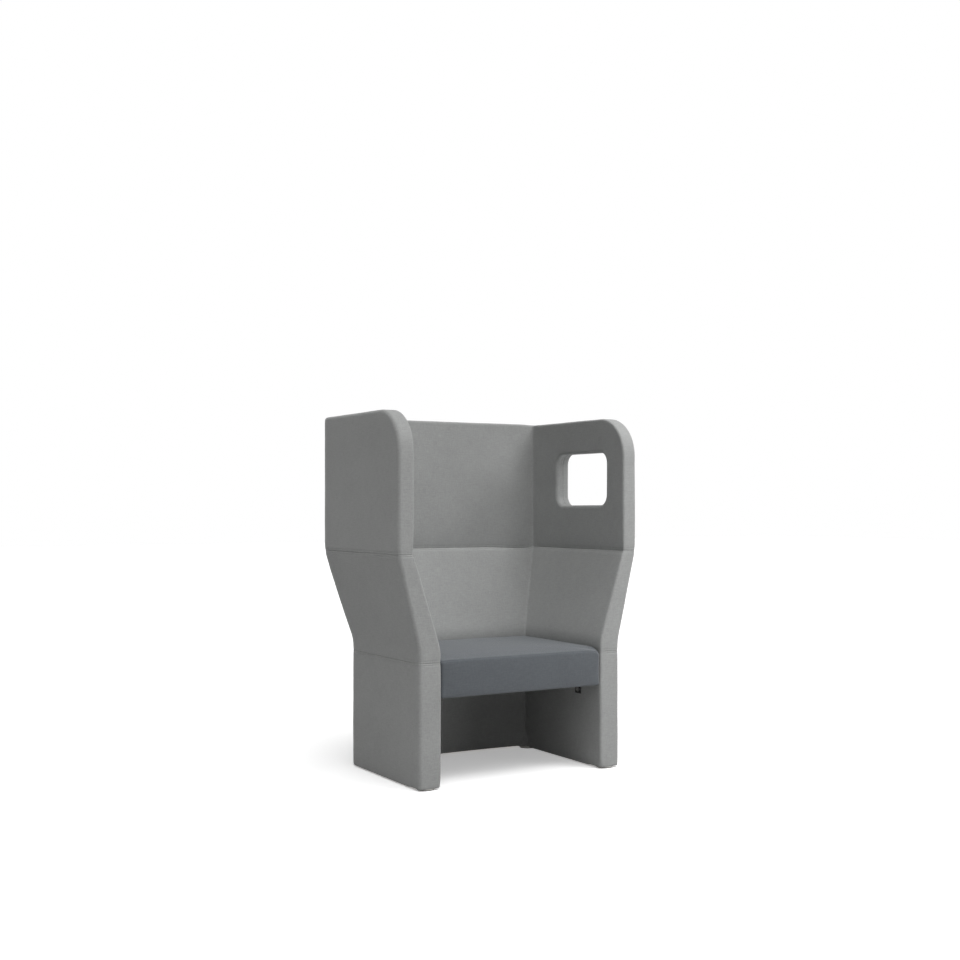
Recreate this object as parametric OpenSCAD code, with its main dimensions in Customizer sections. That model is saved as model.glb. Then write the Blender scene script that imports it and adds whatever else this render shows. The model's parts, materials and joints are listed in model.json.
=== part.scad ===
// Acoustic high back lounge chair: two flared side wings and a bowed back, upholstered
// over plywood frames, with a box seat hung between the wings and four levelling glides.
// The chair faces -Y, +Z is up, and the origin is on the floor under the middle of the chair.

/* [Shell] */
// Height of the shell above the floor
chair_h = 1370; // [1250:10:1450]
// Gap between the floor and the panels
floor_gap = 9; // [8:0.5:14]
// Half of the width over the wings, near the floor
low_half_w = 441; // [420:1:470]
// Half of the width over the wings, above the flare
top_half_w = 525; // [500:1:560]
// Thickness of the panels, near the floor
low_panel_t = 88; // [80:1:100]
// Thickness of the panels, above the flare
top_panel_t = 62; // [58:1:72]
// Distance from the wing fronts to the outside of the back, near the floor
low_depth = 626; // [600:1:660]
// Distance from the wing fronts to the outside of the back, above the flare
top_depth = 709; // [690:1:740]
// Height at which the flare begins
flare_start_z = 500; // [485:1:520]
// Height at which the flare ends
flare_end_z = 845; // [800:1:900]
// Half of the height over which each bend is rounded
bend_half_h = 26; // [15:1:30]
// How far the middle of the back bows rearwards
back_bow = 20; // [5:1:30]
// Outer corner radius of the back, seen from above
corner_r = 96; // [70:1:98]
// Inner corner radius of the back, seen from above
inner_corner_r = 30; // [15:1:34]
// Length of the short returns of the back, in front of its inner face
return_l = 36; // [34:1:45]
// Radius of the wings' top front corners, seen from the side
front_r = 155; // [100:5:200]
// Radius of the upper edges of the panels
top_edge_r = 10; // [6:1:14]

/* [Layers] */
// Thickness of the fabric covers with their lining
cover_t = 2; // [1:0.5:3]
// Thickness of the foam sheets
foam_t = 12; // [8:1:14]
// Thickness of the plywood skins
board_t = 4; // [3:0.5:6]
// Height of the base boards
base_t = 24; // [22:1:30]
// Radius of the base boards' front corners
base_corner_r = 12; // [8:1:16]
// Width of the frame stiles
stile_w = 45; // [40:1:60]
// Height of the wing rails
rail_h = 40; // [30:1:50]
// Height of the wing rail that carries the seat
seat_rail_h = 70; // [60:1:80]
// Thickness of the back ribs
rib_t = 24; // [18:1:30]
// Height of the lower seam
low_seam_z = 456; // [440:1:470]
// Height of the upper seam
top_seam_z = 846; // [835:1:860]

/* [Window] */
// Distance from the wing front to the window in the right wing
window_front = 113; // [90:1:150]
// Distance from the window to the joint with the back
window_rear = 146; // [120:1:180]
// Distance from the top edge to the window
window_top = 134; // [110:1:160]
// Distance from the upper seam to the window
window_low = 176; // [130:1:200]
// Corner radius of the window
window_r = 45; // [20:1:60]
// Width of the plywood strip round the window
window_strip = 15; // [12:1:20]

/* [Seat] */
// Height of the seat's underside
seat_z = 330; // [300:1:345]
// Height of the seat's front seam at the middle
seat_seam_z = 463; // [455:1:470]
// How far the top rises behind the front seam
seat_rise = 10; // [4:1:14]
// Depth over which the top rises behind the front seam
seat_rise_run = 100; // [60:5:150]
// Height of the crown in the middle
seat_crown = 4; // [2:1:8]
// How far the two front corners fall away
seat_end_drop = 22; // [10:1:30]
// Depth over which the front corners rise to the full height
seat_corner_run = 60; // [40:5:90]
// How far the sides are drawn in between their edges
seat_draw_in = 3; // [1:0.5:5]
// Radius of the seat's front corners, seen from above
seat_corner_r = 14; // [8:1:24]
// Gap between the seat and the panels round it
seat_gap = 0.4; // [0.3:0.1:2]
// Thickness of the seat's fabric
seat_cover_t = 1.5; // [1:0.5:2]
// Foam thickness at the front and the ends of the seat frame
seat_side_foam = 8.5; // [6:0.5:12]
// Foam thickness behind the seat frame, at its ends
seat_rear_foam = 19; // [16:0.5:26]
// Height of the seat frame
seat_frame_h = 76; // [60:1:85]
// Thickness of the seat frame's rails
seat_rail_t = 22; // [18:1:28]
// Length of the frame's corner blocks along each rail
block_l = 60; // [40:1:90]
// Thickness of the black dust cloth
dust_t = 1.5; // [1:0.5:2]
// Width of a webbing strap
strap_w = 50; // [40:1:60]
// Thickness of a webbing strap
strap_t = 1.5; // [1:0.5:2]
// Number of webbing straps from front to rear
long_straps = 6; // [4:1:8]
// Number of webbing straps from side to side
cross_straps = 4; // [3:1:6]

/* [Brackets and bolts] */
// Width of a seat bracket
bracket_w = 38; // [30:1:50]
// Height of a bracket's upright leg
bracket_h = 52; // [45:1:60]
// Length of a bracket's flat leg
bracket_l = 46; // [40:1:55]
// Thickness of a bracket
bracket_t = 4; // [3:0.5:5]
// Distance from the wing front to the middle of the front brackets
bracket_front_y = 147; // [120:1:170]
// Distance from the wing front to the middle of the rear brackets
bracket_rear_y = 420; // [380:1:440]
// Height of the wing bolt above the foot of its bracket
bracket_bolt_up = 17; // [14:1:20]
// Diameter of the bolts
bolt_d = 8; // [6:1:8]
// Clearance of a bolt hole, across its diameter
bolt_clear = 0.4; // [0.2:0.1:0.8]
// Diameter of a bolt head
head_d = 18; // [14:1:20]
// Height of a bolt head
head_h = 4; // [3:0.5:6]
// Depth to which a wing bolt enters the seat rail
bolt_bite = 24; // [18:1:30]
// Diameter of the seat screws
screw_d = 5; // [4:0.5:6]
// Diameter of a seat screw's head
screw_head_d = 10; // [8:0.5:11]
// Height of a seat screw's head
screw_head_h = 2.5; // [2:0.5:4]
// Depth to which a seat screw enters the seat frame
screw_bite = 26; // [20:1:40]
// Distance between the two screws of a bracket
screw_span = 20; // [14:1:24]
// Diameter of the barrel nuts that join the panels
barrel_d = 12; // [11:0.5:14]
// Length of the barrel nuts
barrel_l = 18; // [16:1:19]
// Distance from the joint between two panels to a barrel nut
barrel_off = 17; // [14:1:20]
// How far a joining bolt runs past its barrel nut
bolt_past = 5; // [3:1:8]
// Depth of the back's end stiles
end_stile_d = 30; // [26:1:34]
// Height of the lowest joining bolt
joint_low_z = 160; // [140:5:180]
// How far the second joining bolt lies under the lower seam
joint_seam_drop = 56; // [50:2:64]
// How far the third joining bolt lies over the upper seam
joint_seam_rise = 74; // [60:2:84]
// How far the highest joining bolt lies under the top
joint_top_drop = 130; // [110:5:150]

/* [Glides] */
// Diameter of a glide's pad
pad_d = 66; // [50:1:70]
// Diameter of the soft sole under a pad
sole_d = 62; // [46:1:64]
// Thickness of the sole
sole_t = 2.5; // [2:0.5:3]
// Running gap between a pad and the base board
pad_gap = 0.3; // [0.3:0.1:1]
// Distance from the wing front to the front glides
front_glide_y = 36; // [34:1:60]
// Distance from the inner faces to the rear glides
rear_glide_in = 9; // [8:1:20]
// Diameter of a glide's threaded stud
stud_d = 8; // [6:1:10]
// Length of the stud above the pad
stud_l = 22; // [18:1:22]
// Width over the corners of the stud's hexagon
hex_d = 15; // [12:0.5:16]
// Height of the hexagon
hex_h = 4; // [3:0.5:4.5]
// Running clearance round a stud, on its radius
run_clear = 0.05; // [0.03:0.01:0.08]
// Outer diameter of a threaded insert
insert_d = 12; // [11:0.5:14]
// Diameter of an insert's flange
insert_flange_d = 22; // [18:1:26]
// Thickness of an insert's flange
insert_flange_t = 1.5; // [1:0.5:2]

/* [Hidden] */

$fn = 48;
// How far a cutting shape runs past what it cuts
over = 1;
overall_d = top_depth + back_bow;
shell_fabric = [0.60, 0.61, 0.61];
seat_fabric = [0.38, 0.41, 0.44];
foam_colour = [0.93, 0.89, 0.74];
plywood = [0.80, 0.66, 0.46];
timber = [0.72, 0.56, 0.36];
black_steel = [0.08, 0.08, 0.08];
zinc = [0.72, 0.72, 0.70];

// Insets of the layers from the outside of a panel
foam_in = cover_t;
board_in = foam_in + foam_t;
core_in = board_in + board_t;
base_top = floor_gap + base_t;
core_top = chair_h - board_in;

// How far the shell reaches from the middle, and rearwards
reach_x = max(low_half_w, top_half_w) + over;
reach_y = max(low_depth, top_depth);

// Heights at which a profile needs a point
bend_shares = [-1, -0.4, 0.4, 1];
bend_levels = [for (c = [flare_start_z, flare_end_z]) for (k = bend_shares) c + k * bend_half_h];
function levels(a, b) = concat([a], [for (z = bend_levels) if (z > a && z < b) z], [b]);

// Share of the flare at a height: both bends are rounded, and straight between the points
function bend(d) =
    let (h = bend_half_h)
    d <= -h ? 0 : d < h ? (d + h) * (d + h) / (4 * h) : d;
flare_h = flare_end_z - flare_start_z;
flare_profile = [for (z = bend_levels) [z, (bend(z - flare_start_z) - bend(z - flare_end_z)) / flare_h]];
function flare(z) = lookup(z, flare_profile);
function mix(a, b, k) = a + (b - a) * k;
function half_w(z) = mix(low_half_w, top_half_w, flare(z));
function panel_t(z) = mix(low_panel_t, top_panel_t, flare(z));
function outer_y(z) = mix(low_depth, top_depth, flare(z));
function inner_x(z) = half_w(z) - panel_t(z);
function inner_y(z) = outer_y(z) - panel_t(z);
function joint_y(z) = inner_y(z) - return_l;

function reversed(v) = [for (i = [len(v) - 1 : -1 : 0]) v[i]];
function arc(x, y, r, from, to, steps) =
    [for (i = [0 : steps]) let (a = mix(from, to, i / steps)) [x + r * cos(a), y + r * sin(a)]];

// Moves a piece drawn from the wing fronts backwards so that the chair is centred
module centred() translate([0, -overall_d / 2, 0]) children();

// Runs a shape drawn in X and Z along Y
module along_y(length) translate([0, length, 0]) rotate([90, 0, 0]) linear_extrude(length) children();

// Runs a shape drawn in Y and Z along X
module along_x(length) rotate([90, 0, 90]) linear_extrude(length) children();

module on_side(side) {
    if (side > 0) children();
    else mirror([1, 0, 0]) children();
}

// Wings

// Points up the outer or the inner face of the right wing, inset by e
function outer_pts(e, a, b) = [for (z = levels(a, b)) [half_w(z) - e, z]];
function inner_pts(e, a, b) = [for (z = levels(a, b)) [inner_x(z) + e, z]];

// Front view of the right wing between two heights
module wing_band(e, a, b) polygon(concat(outer_pts(e, a, b), reversed(inner_pts(e, a, b))));

// Front view of the right wing with its rounded top
module wing_top_band(e, a) {
    z = chair_h - top_edge_r;
    r = max(top_edge_r - e, cover_t / 2);
    x_out = half_w(z) - e - r;
    x_in = inner_x(z) + e + r;
    top = chair_h - e - r;
    polygon(concat(
        outer_pts(e, a, top),
        arc(x_out, top, r, 0, 90, 5),
        arc(x_in, top, r, 90, 180, 5),
        reversed(inner_pts(e, a, top))
    ));
}

// Side view of a wing: straight front, round top corner, rear edge along the joint
module wing_outline(e, past, low) {
    rear = [for (z = levels(low, chair_h - e)) [joint_y(z) + past, z]];
    polygon(concat(
        [[e, low]],
        arc(front_r, chair_h - front_r, front_r - e, 180, 90, 12),
        reversed(rear)
    ));
}

module window_shape(e) {
    y1 = window_front;
    y2 = joint_y(chair_h) - window_rear;
    z1 = top_seam_z + window_low;
    z2 = chair_h - window_top;
    r = min(window_r, (y2 - y1) / 2, (z2 - z1) / 2);
    polygon(concat(
        arc(y2 - r, z2 - r, r + e, 0, 90, 6),
        arc(y1 + r, z2 - r, r + e, 90, 180, 6),
        arc(y1 + r, z1 + r, r + e, 180, 270, 6),
        arc(y2 - r, z1 + r, r + e, 270, 360, 6)
    ));
}

module window_hole(side, e) {
    if (side > 0) along_x(reach_x) window_shape(e);
}

// A piece of the right wing: its front view crossed with its side view
module wing_piece() {
    intersection() {
        along_y(reach_y) children(0);
        along_x(reach_x) children(1);
    }
}

module bracket_bolt_holes(d) {
    for (y = [bracket_front_y, bracket_rear_y])
        translate([inner_x(seat_z) - over, y, bracket_bolt_z])
            rotate([0, 90, 0]) cylinder(h = core_in + bolt_bite + over, d = d);
}

bracket_bolt_z = seat_z - bracket_h + bracket_bolt_up;
bolt_hole_d = bolt_d + bolt_clear;

module wing_cover_lower(side) color(shell_fabric) centred() on_side(side) {
    difference() {
        wing_piece() {
            wing_band(0, floor_gap, low_seam_z);
            wing_outline(0, 0, floor_gap);
        }
        wing_piece() {
            wing_band(cover_t, floor_gap - over, low_seam_z + over);
            wing_outline(cover_t, over, floor_gap - over);
        }
        bracket_bolt_holes(bolt_hole_d);
    }
}

module wing_cover_middle(side) color(shell_fabric) centred() on_side(side) {
    difference() {
        wing_piece() {
            wing_band(0, low_seam_z, top_seam_z);
            wing_outline(0, 0, floor_gap);
        }
        wing_piece() {
            wing_band(cover_t, low_seam_z - over, top_seam_z + over);
            wing_outline(cover_t, over, floor_gap);
        }
    }
}

module wing_cover_upper(side) color(shell_fabric) centred() on_side(side) {
    difference() {
        wing_piece() {
            wing_top_band(0, top_seam_z);
            wing_outline(0, 0, floor_gap);
        }
        difference() {
            wing_piece() {
                wing_top_band(cover_t, top_seam_z - over);
                wing_outline(cover_t, over, floor_gap);
            }
            window_hole(side, cover_t);
        }
        window_hole(side, 0);
    }
}

module wing_outer_foam(side) color(foam_colour) centred() on_side(side) {
    difference() {
        wing_piece() {
            polygon(concat(outer_pts(foam_in, base_top, core_top),
                reversed(outer_pts(board_in, base_top, core_top))));
            wing_outline(board_in, 0, floor_gap);
        }
        window_hole(side, cover_t);
    }
}

module wing_inner_foam(side) color(foam_colour) centred() on_side(side) {
    difference() {
        wing_piece() {
            polygon(concat(inner_pts(board_in, base_top, core_top),
                reversed(inner_pts(foam_in, base_top, core_top))));
            wing_outline(board_in, 0, floor_gap);
        }
        window_hole(side, cover_t);
        bracket_bolt_holes(bolt_hole_d);
    }
}

// The foam strip that wraps the front edge and the top edge
module wing_edge_foam(side) color(foam_colour) centred() on_side(side) {
    wing_piece() {
        wing_top_band(foam_in, base_top);
        difference() {
            wing_outline(foam_in, 0, floor_gap);
            wing_outline(board_in, over, floor_gap - over);
        }
    }
}

module wing_outer_board(side) color(plywood) centred() on_side(side) {
    difference() {
        wing_piece() {
            polygon(concat(outer_pts(board_in, base_top, core_top),
                reversed(outer_pts(core_in, base_top, core_top))));
            wing_outline(board_in, 0, floor_gap);
        }
        window_hole(side, cover_t);
    }
}

module wing_inner_board(side) color(plywood) centred() on_side(side) {
    difference() {
        wing_piece() {
            polygon(concat(inner_pts(core_in, base_top, core_top),
                reversed(inner_pts(board_in, base_top, core_top))));
            wing_outline(board_in, 0, floor_gap);
        }
        window_hole(side, cover_t);
        bracket_bolt_holes(bolt_hole_d);
    }
}

// Middle of the frame's thickness at a height
function core_x(z) = (half_w(z) + inner_x(z)) / 2;

joint_heights = [
    joint_low_z,
    low_seam_z - joint_seam_drop,
    top_seam_z + joint_seam_rise,
    chair_h - joint_top_drop
];

// Holes for the joining bolts and their barrel nuts, in front of or behind the joint
module joint_holes(way) {
    for (z = joint_heights) {
        translate([core_x(z), joint_y(z), z]) rotate([-90 * way, 0, 0])
            translate([0, 0, -over]) cylinder(h = barrel_off + bolt_past + 2 * over, d = bolt_hole_d);
        translate([core_x(z) - low_panel_t / 2, joint_y(z) + way * barrel_off, z])
            rotate([0, 90, 0]) cylinder(h = low_panel_t, d = barrel_d + bolt_clear);
    }
}

module wing_stiles(side) color(timber) centred() on_side(side) {
    wing_piece() {
        wing_band(core_in, base_top, core_top);
        intersection() {
            wing_outline(board_in, 0, floor_gap);
            translate([board_in, floor_gap]) square([stile_w, chair_h]);
        }
    }
    difference() {
        wing_piece() {
            wing_band(core_in, base_top, core_top);
            polygon(concat(
                [for (z = levels(base_top, core_top)) [joint_y(z), z]],
                reversed([for (z = levels(base_top, core_top)) [joint_y(z) - stile_w, z]])
            ));
        }
        joint_holes(-1);
    }
}

// Each rail's lower edge and height: foot, seat, waist, seam and top rails
wing_rails_at = [
    [base_top, rail_h],
    [bracket_bolt_z - seat_rail_h / 2, seat_rail_h],
    [(flare_start_z + flare_end_z - rail_h) / 2, rail_h],
    [top_seam_z - rail_h / 2, rail_h],
    [core_top - rail_h, rail_h]
];

module wing_rails(side) color(timber) centred() on_side(side) {
    difference() {
        for (r = wing_rails_at)
            wing_piece() {
                wing_band(core_in, r[0], r[0] + r[1]);
                intersection() {
                    wing_outline(board_in, 0, floor_gap);
                    polygon(concat(
                        [for (z = levels(r[0], r[0] + r[1])) [joint_y(z) - stile_w, z]],
                        [[board_in + stile_w, r[0] + r[1]], [board_in + stile_w, r[0]]]
                    ));
                }
            }
        bracket_bolt_holes(bolt_d);
    }
}

front_glide_x = low_half_w - low_panel_t / 2;
rear_glide_x = low_half_w - low_panel_t + rear_glide_in;
rear_glide_y = low_depth - low_panel_t;
glide_places = [
    [-front_glide_x, front_glide_y], [front_glide_x, front_glide_y],
    [-rear_glide_x, rear_glide_y], [rear_glide_x, rear_glide_y]
];

module insert_holes() {
    for (p = glide_places)
        translate([p[0], p[1], floor_gap]) {
            translate([0, 0, -over]) cylinder(h = base_t + 2 * over, d = insert_d);
            translate([0, 0, -over]) cylinder(h = insert_flange_t + over, d = insert_flange_d);
        }
}

// What the rounding takes off a base board's front corners
module base_corner_cuts() {
    for (c = [[inner_x(floor_gap) + cover_t, 1], [half_w(floor_gap) - cover_t, -1]])
        translate([c[0], cover_t, floor_gap - over]) linear_extrude(base_t + 2 * over)
            difference() {
                translate([c[1] > 0 ? -over : -base_corner_r, -over]) square(base_corner_r + over);
                translate([c[1] * base_corner_r, base_corner_r]) circle(r = base_corner_r);
            }
}

module wing_base(side) color(plywood) centred() {
    difference() {
        on_side(side) difference() {
            wing_piece() {
                wing_band(cover_t, floor_gap, base_top);
                wing_outline(cover_t, 0, floor_gap);
            }
            base_corner_cuts();
        }
        insert_holes();
    }
}

module window_strip_frame() color(plywood) centred() {
    intersection() {
        along_y(reach_y) wing_band(core_in, top_seam_z, core_top);
        along_x(reach_x) difference() {
            window_shape(cover_t + window_strip);
            window_shape(cover_t);
        }
    }
}

// Back

arc_steps = 6;
bow_steps = 8;
last_col = 2 * arc_steps + bow_steps + 2;
back_r = min(corner_r, top_panel_t + return_l);
// Angle at which the wide arc of the bow meets the corners, the same at every height
lean = 2 * atan(back_bow / (top_half_w - back_r));

// Point j along the plan of the back's right half: return, corner arc, half of the bow
function half_plan(out, e, z, j) =
    let (
        r = out ? back_r : inner_corner_r,
        cx = (out ? half_w(z) : inner_x(z)) - r,
        cy = (out ? outer_y(z) : inner_y(z)) - r,
        rr = out ? r - e : r + e,
        a = (90 - lean) * (j - 1) / arc_steps,
        b = mix(90 - lean, 90, 2 * (j - 1 - arc_steps) / bow_steps),
        wide_r = cx / sin(lean) + rr
    )
    j == 0 ? [cx + rr, joint_y(z)] :
    j <= arc_steps + 1 ? [cx + rr * cos(a), cy + rr * sin(a)] :
    [wide_r * cos(b), cy - cx / tan(lean) + wide_r * sin(b)];
function plan_pt(out, e, z, j) =
    let (
        flip = j > last_col / 2,
        p = half_plan(out, e, z, flip ? last_col - j : j)
    )
    [flip ? -p[0] : p[0], p[1]];

// One row of points across the back, on its outer or inner side
function back_row(out, e, z) =
    [for (j = [0 : last_col]) let (p = plan_pt(out, e, z, j)) [p[0], p[1], z]];

// A row on the top edge: k runs from 0 at the outer side to 1 at the inner side
function top_row(e, k, z) =
    [for (j = [0 : last_col])
        let (
            a = plan_pt(true, e, chair_h - top_edge_r, j),
            b = plan_pt(false, e, chair_h - top_edge_r, j)
        )
        [mix(a[0], b[0], k), mix(a[1], b[1], k), z]];

// Rows over the rounded top edge, from the outer side to the inner side
top_angles = [30, 60, 90];
function top_rows(e) =
    let (
        r = max(top_edge_r - e, cover_t / 2),
        t = top_panel_t - 2 * e,
        z = chair_h - e - r
    )
    concat(
        [top_row(e, 0, z)],
        [for (a = top_angles) top_row(e, r * (1 - cos(a)) / t, z + r * sin(a))],
        [for (a = reversed(top_angles)) top_row(e, 1 - r * (1 - cos(a)) / t, z + r * sin(a))],
        [top_row(e, 1, z)]
    );

// A solid between two grids of points, closed round its four borders
module slab(rows_a, rows_b) {
    m = len(rows_a);
    n = len(rows_a[0]);
    points = concat([for (r = rows_a) for (p = r) p], [for (r = rows_b) for (p = r) p]);
    function a(i, j) = i * n + j;
    function b(i, j) = (m + i) * n + j;
    function quad(p, q, r, s) = [[p, q, r], [p, r, s]];
    quads = concat(
        [for (i = [0 : m - 2]) for (j = [0 : n - 2])
            quad(a(i, j), a(i + 1, j), a(i + 1, j + 1), a(i, j + 1))],
        [for (i = [0 : m - 2]) for (j = [0 : n - 2])
            quad(b(i, j), b(i, j + 1), b(i + 1, j + 1), b(i + 1, j))],
        [for (j = [0 : n - 2]) quad(a(0, j), a(0, j + 1), b(0, j + 1), b(0, j))],
        [for (j = [0 : n - 2]) quad(a(m - 1, j + 1), a(m - 1, j), b(m - 1, j), b(m - 1, j + 1))],
        [for (i = [0 : m - 2]) quad(a(i + 1, 0), a(i, 0), b(i, 0), b(i + 1, 0))],
        [for (i = [0 : m - 2]) quad(a(i, n - 1), a(i + 1, n - 1), b(i + 1, n - 1), b(i, n - 1))]
    );
    polyhedron(points, [for (q = quads) for (t = q) t]);
}

// A layer of the back's outer side between two heights and two insets
module outer_layer(e1, e2, a, b)
    slab([for (z = levels(a, b)) back_row(true, e1, z)], [for (z = levels(a, b)) back_row(true, e2, z)]);

// A layer of the back's inner side between two heights and two insets
module inner_layer(e1, e2, a, b)
    slab([for (z = reversed(levels(a, b))) back_row(false, e1, z)],
        [for (z = reversed(levels(a, b))) back_row(false, e2, z)]);

// A solid filling the back's thickness between two heights, inset by e
module back_fill(e, a, b)
    slab([for (z = levels(a, b)) back_row(true, e, z)], [for (z = levels(a, b)) back_row(false, e, z)]);

module back_cover_lower() color(shell_fabric) centred() {
    outer_layer(0, cover_t, floor_gap, low_seam_z);
    inner_layer(0, cover_t, floor_gap, low_seam_z);
}

module back_cover_middle() color(shell_fabric) centred() {
    outer_layer(0, cover_t, low_seam_z, top_seam_z);
    inner_layer(0, cover_t, low_seam_z, top_seam_z);
}

function wrap_rows(e, low) =
    let (side = reversed([for (z = reversed(levels(low, chair_h))) if (z < chair_h - top_edge_r) z]))
    concat(
        [for (z = side) back_row(true, e, z)],
        top_rows(e),
        [for (z = reversed(side)) back_row(false, e, z)]
    );

module back_cover_upper() color(shell_fabric) centred()
    slab(wrap_rows(0, top_seam_z), wrap_rows(cover_t, top_seam_z));

module back_outer_foam() color(foam_colour) centred() outer_layer(foam_in, board_in, base_top, core_top);
module back_inner_foam() color(foam_colour) centred() inner_layer(foam_in, board_in, base_top, core_top);

// The foam strip on the back's top edge, between the outer and the inner sheet
module back_top_foam() color(foam_colour) centred()
    slab(
        concat([back_row(true, foam_in, core_top)], top_rows(foam_in), [back_row(false, foam_in, core_top)]),
        concat([back_row(true, foam_in, core_top)],
            [for (r = top_rows(foam_in)) [for (p = r) [p[0], p[1], core_top]]],
            [back_row(false, foam_in, core_top)])
    );

module back_outer_board() color(plywood) centred() outer_layer(board_in, core_in, base_top, core_top);
module back_inner_board() color(plywood) centred() inner_layer(board_in, core_in, base_top, core_top);

// How far an end stile keeps clear of the curved outer board, whose flats lie inside its arc
function stile_ease(z) =
    let (
        r = back_r - core_in,
        flat_r = r * cos((90 - lean) / arc_steps / 2),
        run = end_stile_d - (panel_t(z) + return_l - back_r)
    )
    run <= 0 ? 0 : r - sqrt(flat_r * flat_r - run * run);

module end_stile(a, b, past) {
    intersection() {
        along_y(reach_y) polygon(concat(
            [for (z = levels(a, b)) [half_w(z) - core_in - stile_ease(z), z]],
            reversed(inner_pts(core_in, a, b))
        ));
        along_x(reach_x) polygon(concat(
            [for (z = levels(a, b)) [joint_y(z) + end_stile_d, z]],
            reversed([for (z = levels(a, b)) [joint_y(z) - past, z]])
        ));
    }
}

module back_end_stiles() color(timber) centred() {
    for (side = [-1, 1])
        on_side(side) difference() {
            end_stile(base_top, core_top, 0);
            joint_holes(1);
        }
}

// Each rib's lower face
back_ribs_at = [
    base_top,
    bracket_bolt_z - rib_t / 2,
    low_seam_z - rib_t / 2,
    (flare_start_z + flare_end_z - rib_t) / 2,
    top_seam_z - rib_t / 2,
    (top_seam_z + core_top - rib_t) / 2,
    core_top - rib_t
];

module back_ribs() color(plywood) centred() {
    for (z = back_ribs_at)
        difference() {
            back_fill(core_in, z, z + rib_t);
            for (side = [-1, 1]) on_side(side) rib_notch(z - over, z + rib_t + over);
        }
}

// The space that an end stile takes out of a rib
module rib_notch(a, b)
    intersection() {
        along_y(reach_y) polygon([
            [reach_x, a], [reach_x, b], [0, b], [0, a]
        ]);
        along_x(reach_x) polygon(concat(
            [for (z = levels(a, b)) [joint_y(z) + end_stile_d, z]],
            reversed([for (z = levels(a, b)) [joint_y(z) - over, z]])
        ));
    }

module back_base() color(plywood) centred() {
    difference() {
        back_fill(cover_t, floor_gap, base_top);
        insert_holes();
    }
}

// Seat

seat_half_w = low_half_w - low_panel_t - seat_gap;
seat_back_y = low_depth - low_panel_t - seat_gap;
frame_in = seat_cover_t + seat_side_foam;
frame_z = seat_z + dust_t;
frame_top = frame_z + seat_frame_h;
foam_z = frame_top + 2 * strap_t;
frame_half_w = seat_half_w - frame_in;
frame_front_y = frame_in + seat_draw_in;
frame_back_y = seat_back_y - seat_cover_t - seat_rear_foam;
seat_mid_y = seat_back_y / 2;

// Height of the seat's top surface, with its rise, its crown and its falling front corners
end_power = 24;
crown_power = 4;
function seat_top(x, y) =
    let (
        u = min(abs(x) / seat_half_w, 1),
        v = min(abs(y - seat_mid_y) / seat_mid_y, 1),
        rise = 1 - pow(max(1 - y / seat_rise_run, 0), 2),
        corner = pow(max(1 - y / seat_corner_run, 0), 2)
    )
    seat_seam_z + seat_rise * rise + seat_crown * (1 - pow(u, crown_power)) * (1 - pow(v, crown_power))
        - seat_end_drop * corner * pow(u, end_power);

// One ring round the seat, drawn in by e, whose rear side follows the back's inner face
flank_shares = [0.05, 0.12, 0.25, 0.5, 0.75];
front_shares = [0.03, 0.07, 0.13, 0.25, 0.4, 0.6, 0.75, 0.87, 0.93, 0.97];
seat_arc_steps = 3;
function straight(p, q, shares) = [for (k = shares) mix(p, q, k)];
function seat_plan(e) =
    let (
        w = seat_half_w - e,
        r = seat_corner_r,
        rear = [for (j = [1 : last_col - 1]) plan_pt(false, -seat_gap - e, seat_z, j)]
    )
    concat(
        arc(-w + r, e + r, r, 180, 270, seat_arc_steps),
        straight([-w + r, e], [w - r, e], front_shares),
        arc(w - r, e + r, r, 270, 360, seat_arc_steps),
        straight([w, e + r], rear[0], flank_shares),
        rear,
        reversed(straight([-w, e + r], [-w, rear[0][1]], flank_shares))
    );

// Up the side: the share of the height, and the share of the full draw-in there
cover_side_shares = [[0, 0], [0.35, 0.9], [0.7, 0.8], [1, 0]];
pad_side_shares = [[0, 1], [0.5, 0.75], [1, 0]];
// Over the top: the share of the way to the middle
top_shares = [0.04, 0.1, 0.2, 0.35, 0.6];

// Rings up the side from a height, then over the top, at an inset e from the cover's outside
function seat_rings(e, low, side_shares) = concat(
    [for (k = side_shares)
        [for (p = seat_plan(e + k[1] * seat_draw_in))
            [p[0], p[1], mix(low, seat_top(p[0], p[1]) - e, k[0])]]],
    [for (k = top_shares)
        [for (p = seat_plan(e))
            let (x = p[0] * (1 - k), y = mix(p[1], seat_mid_y, k))
            [x, y, seat_top(x, y) - e]]]
);

// A solid through rings, closed by fans round a middle point at the top and at the foot
module loft(rings, top_z, low_z) {
    n = len(rings[0]);
    m = len(rings);
    points = concat([for (r = rings) for (p = r) p], [[0, seat_mid_y, top_z], [0, seat_mid_y, low_z]]);
    polyhedron(points, concat(
        [for (j = [0 : n - 1]) [m * n + 1, j, (j + 1) % n]],
        [for (i = [0 : m - 2]) for (j = [0 : n - 1])
            [i * n + j, (i + 1) * n + j, (i + 1) * n + (j + 1) % n]],
        [for (i = [0 : m - 2]) for (j = [0 : n - 1])
            [i * n + j, (i + 1) * n + (j + 1) % n, i * n + (j + 1) % n]],
        [for (j = [0 : n - 1]) [m * n, (m - 1) * n + (j + 1) % n, (m - 1) * n + j]]
    ));
}

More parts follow.
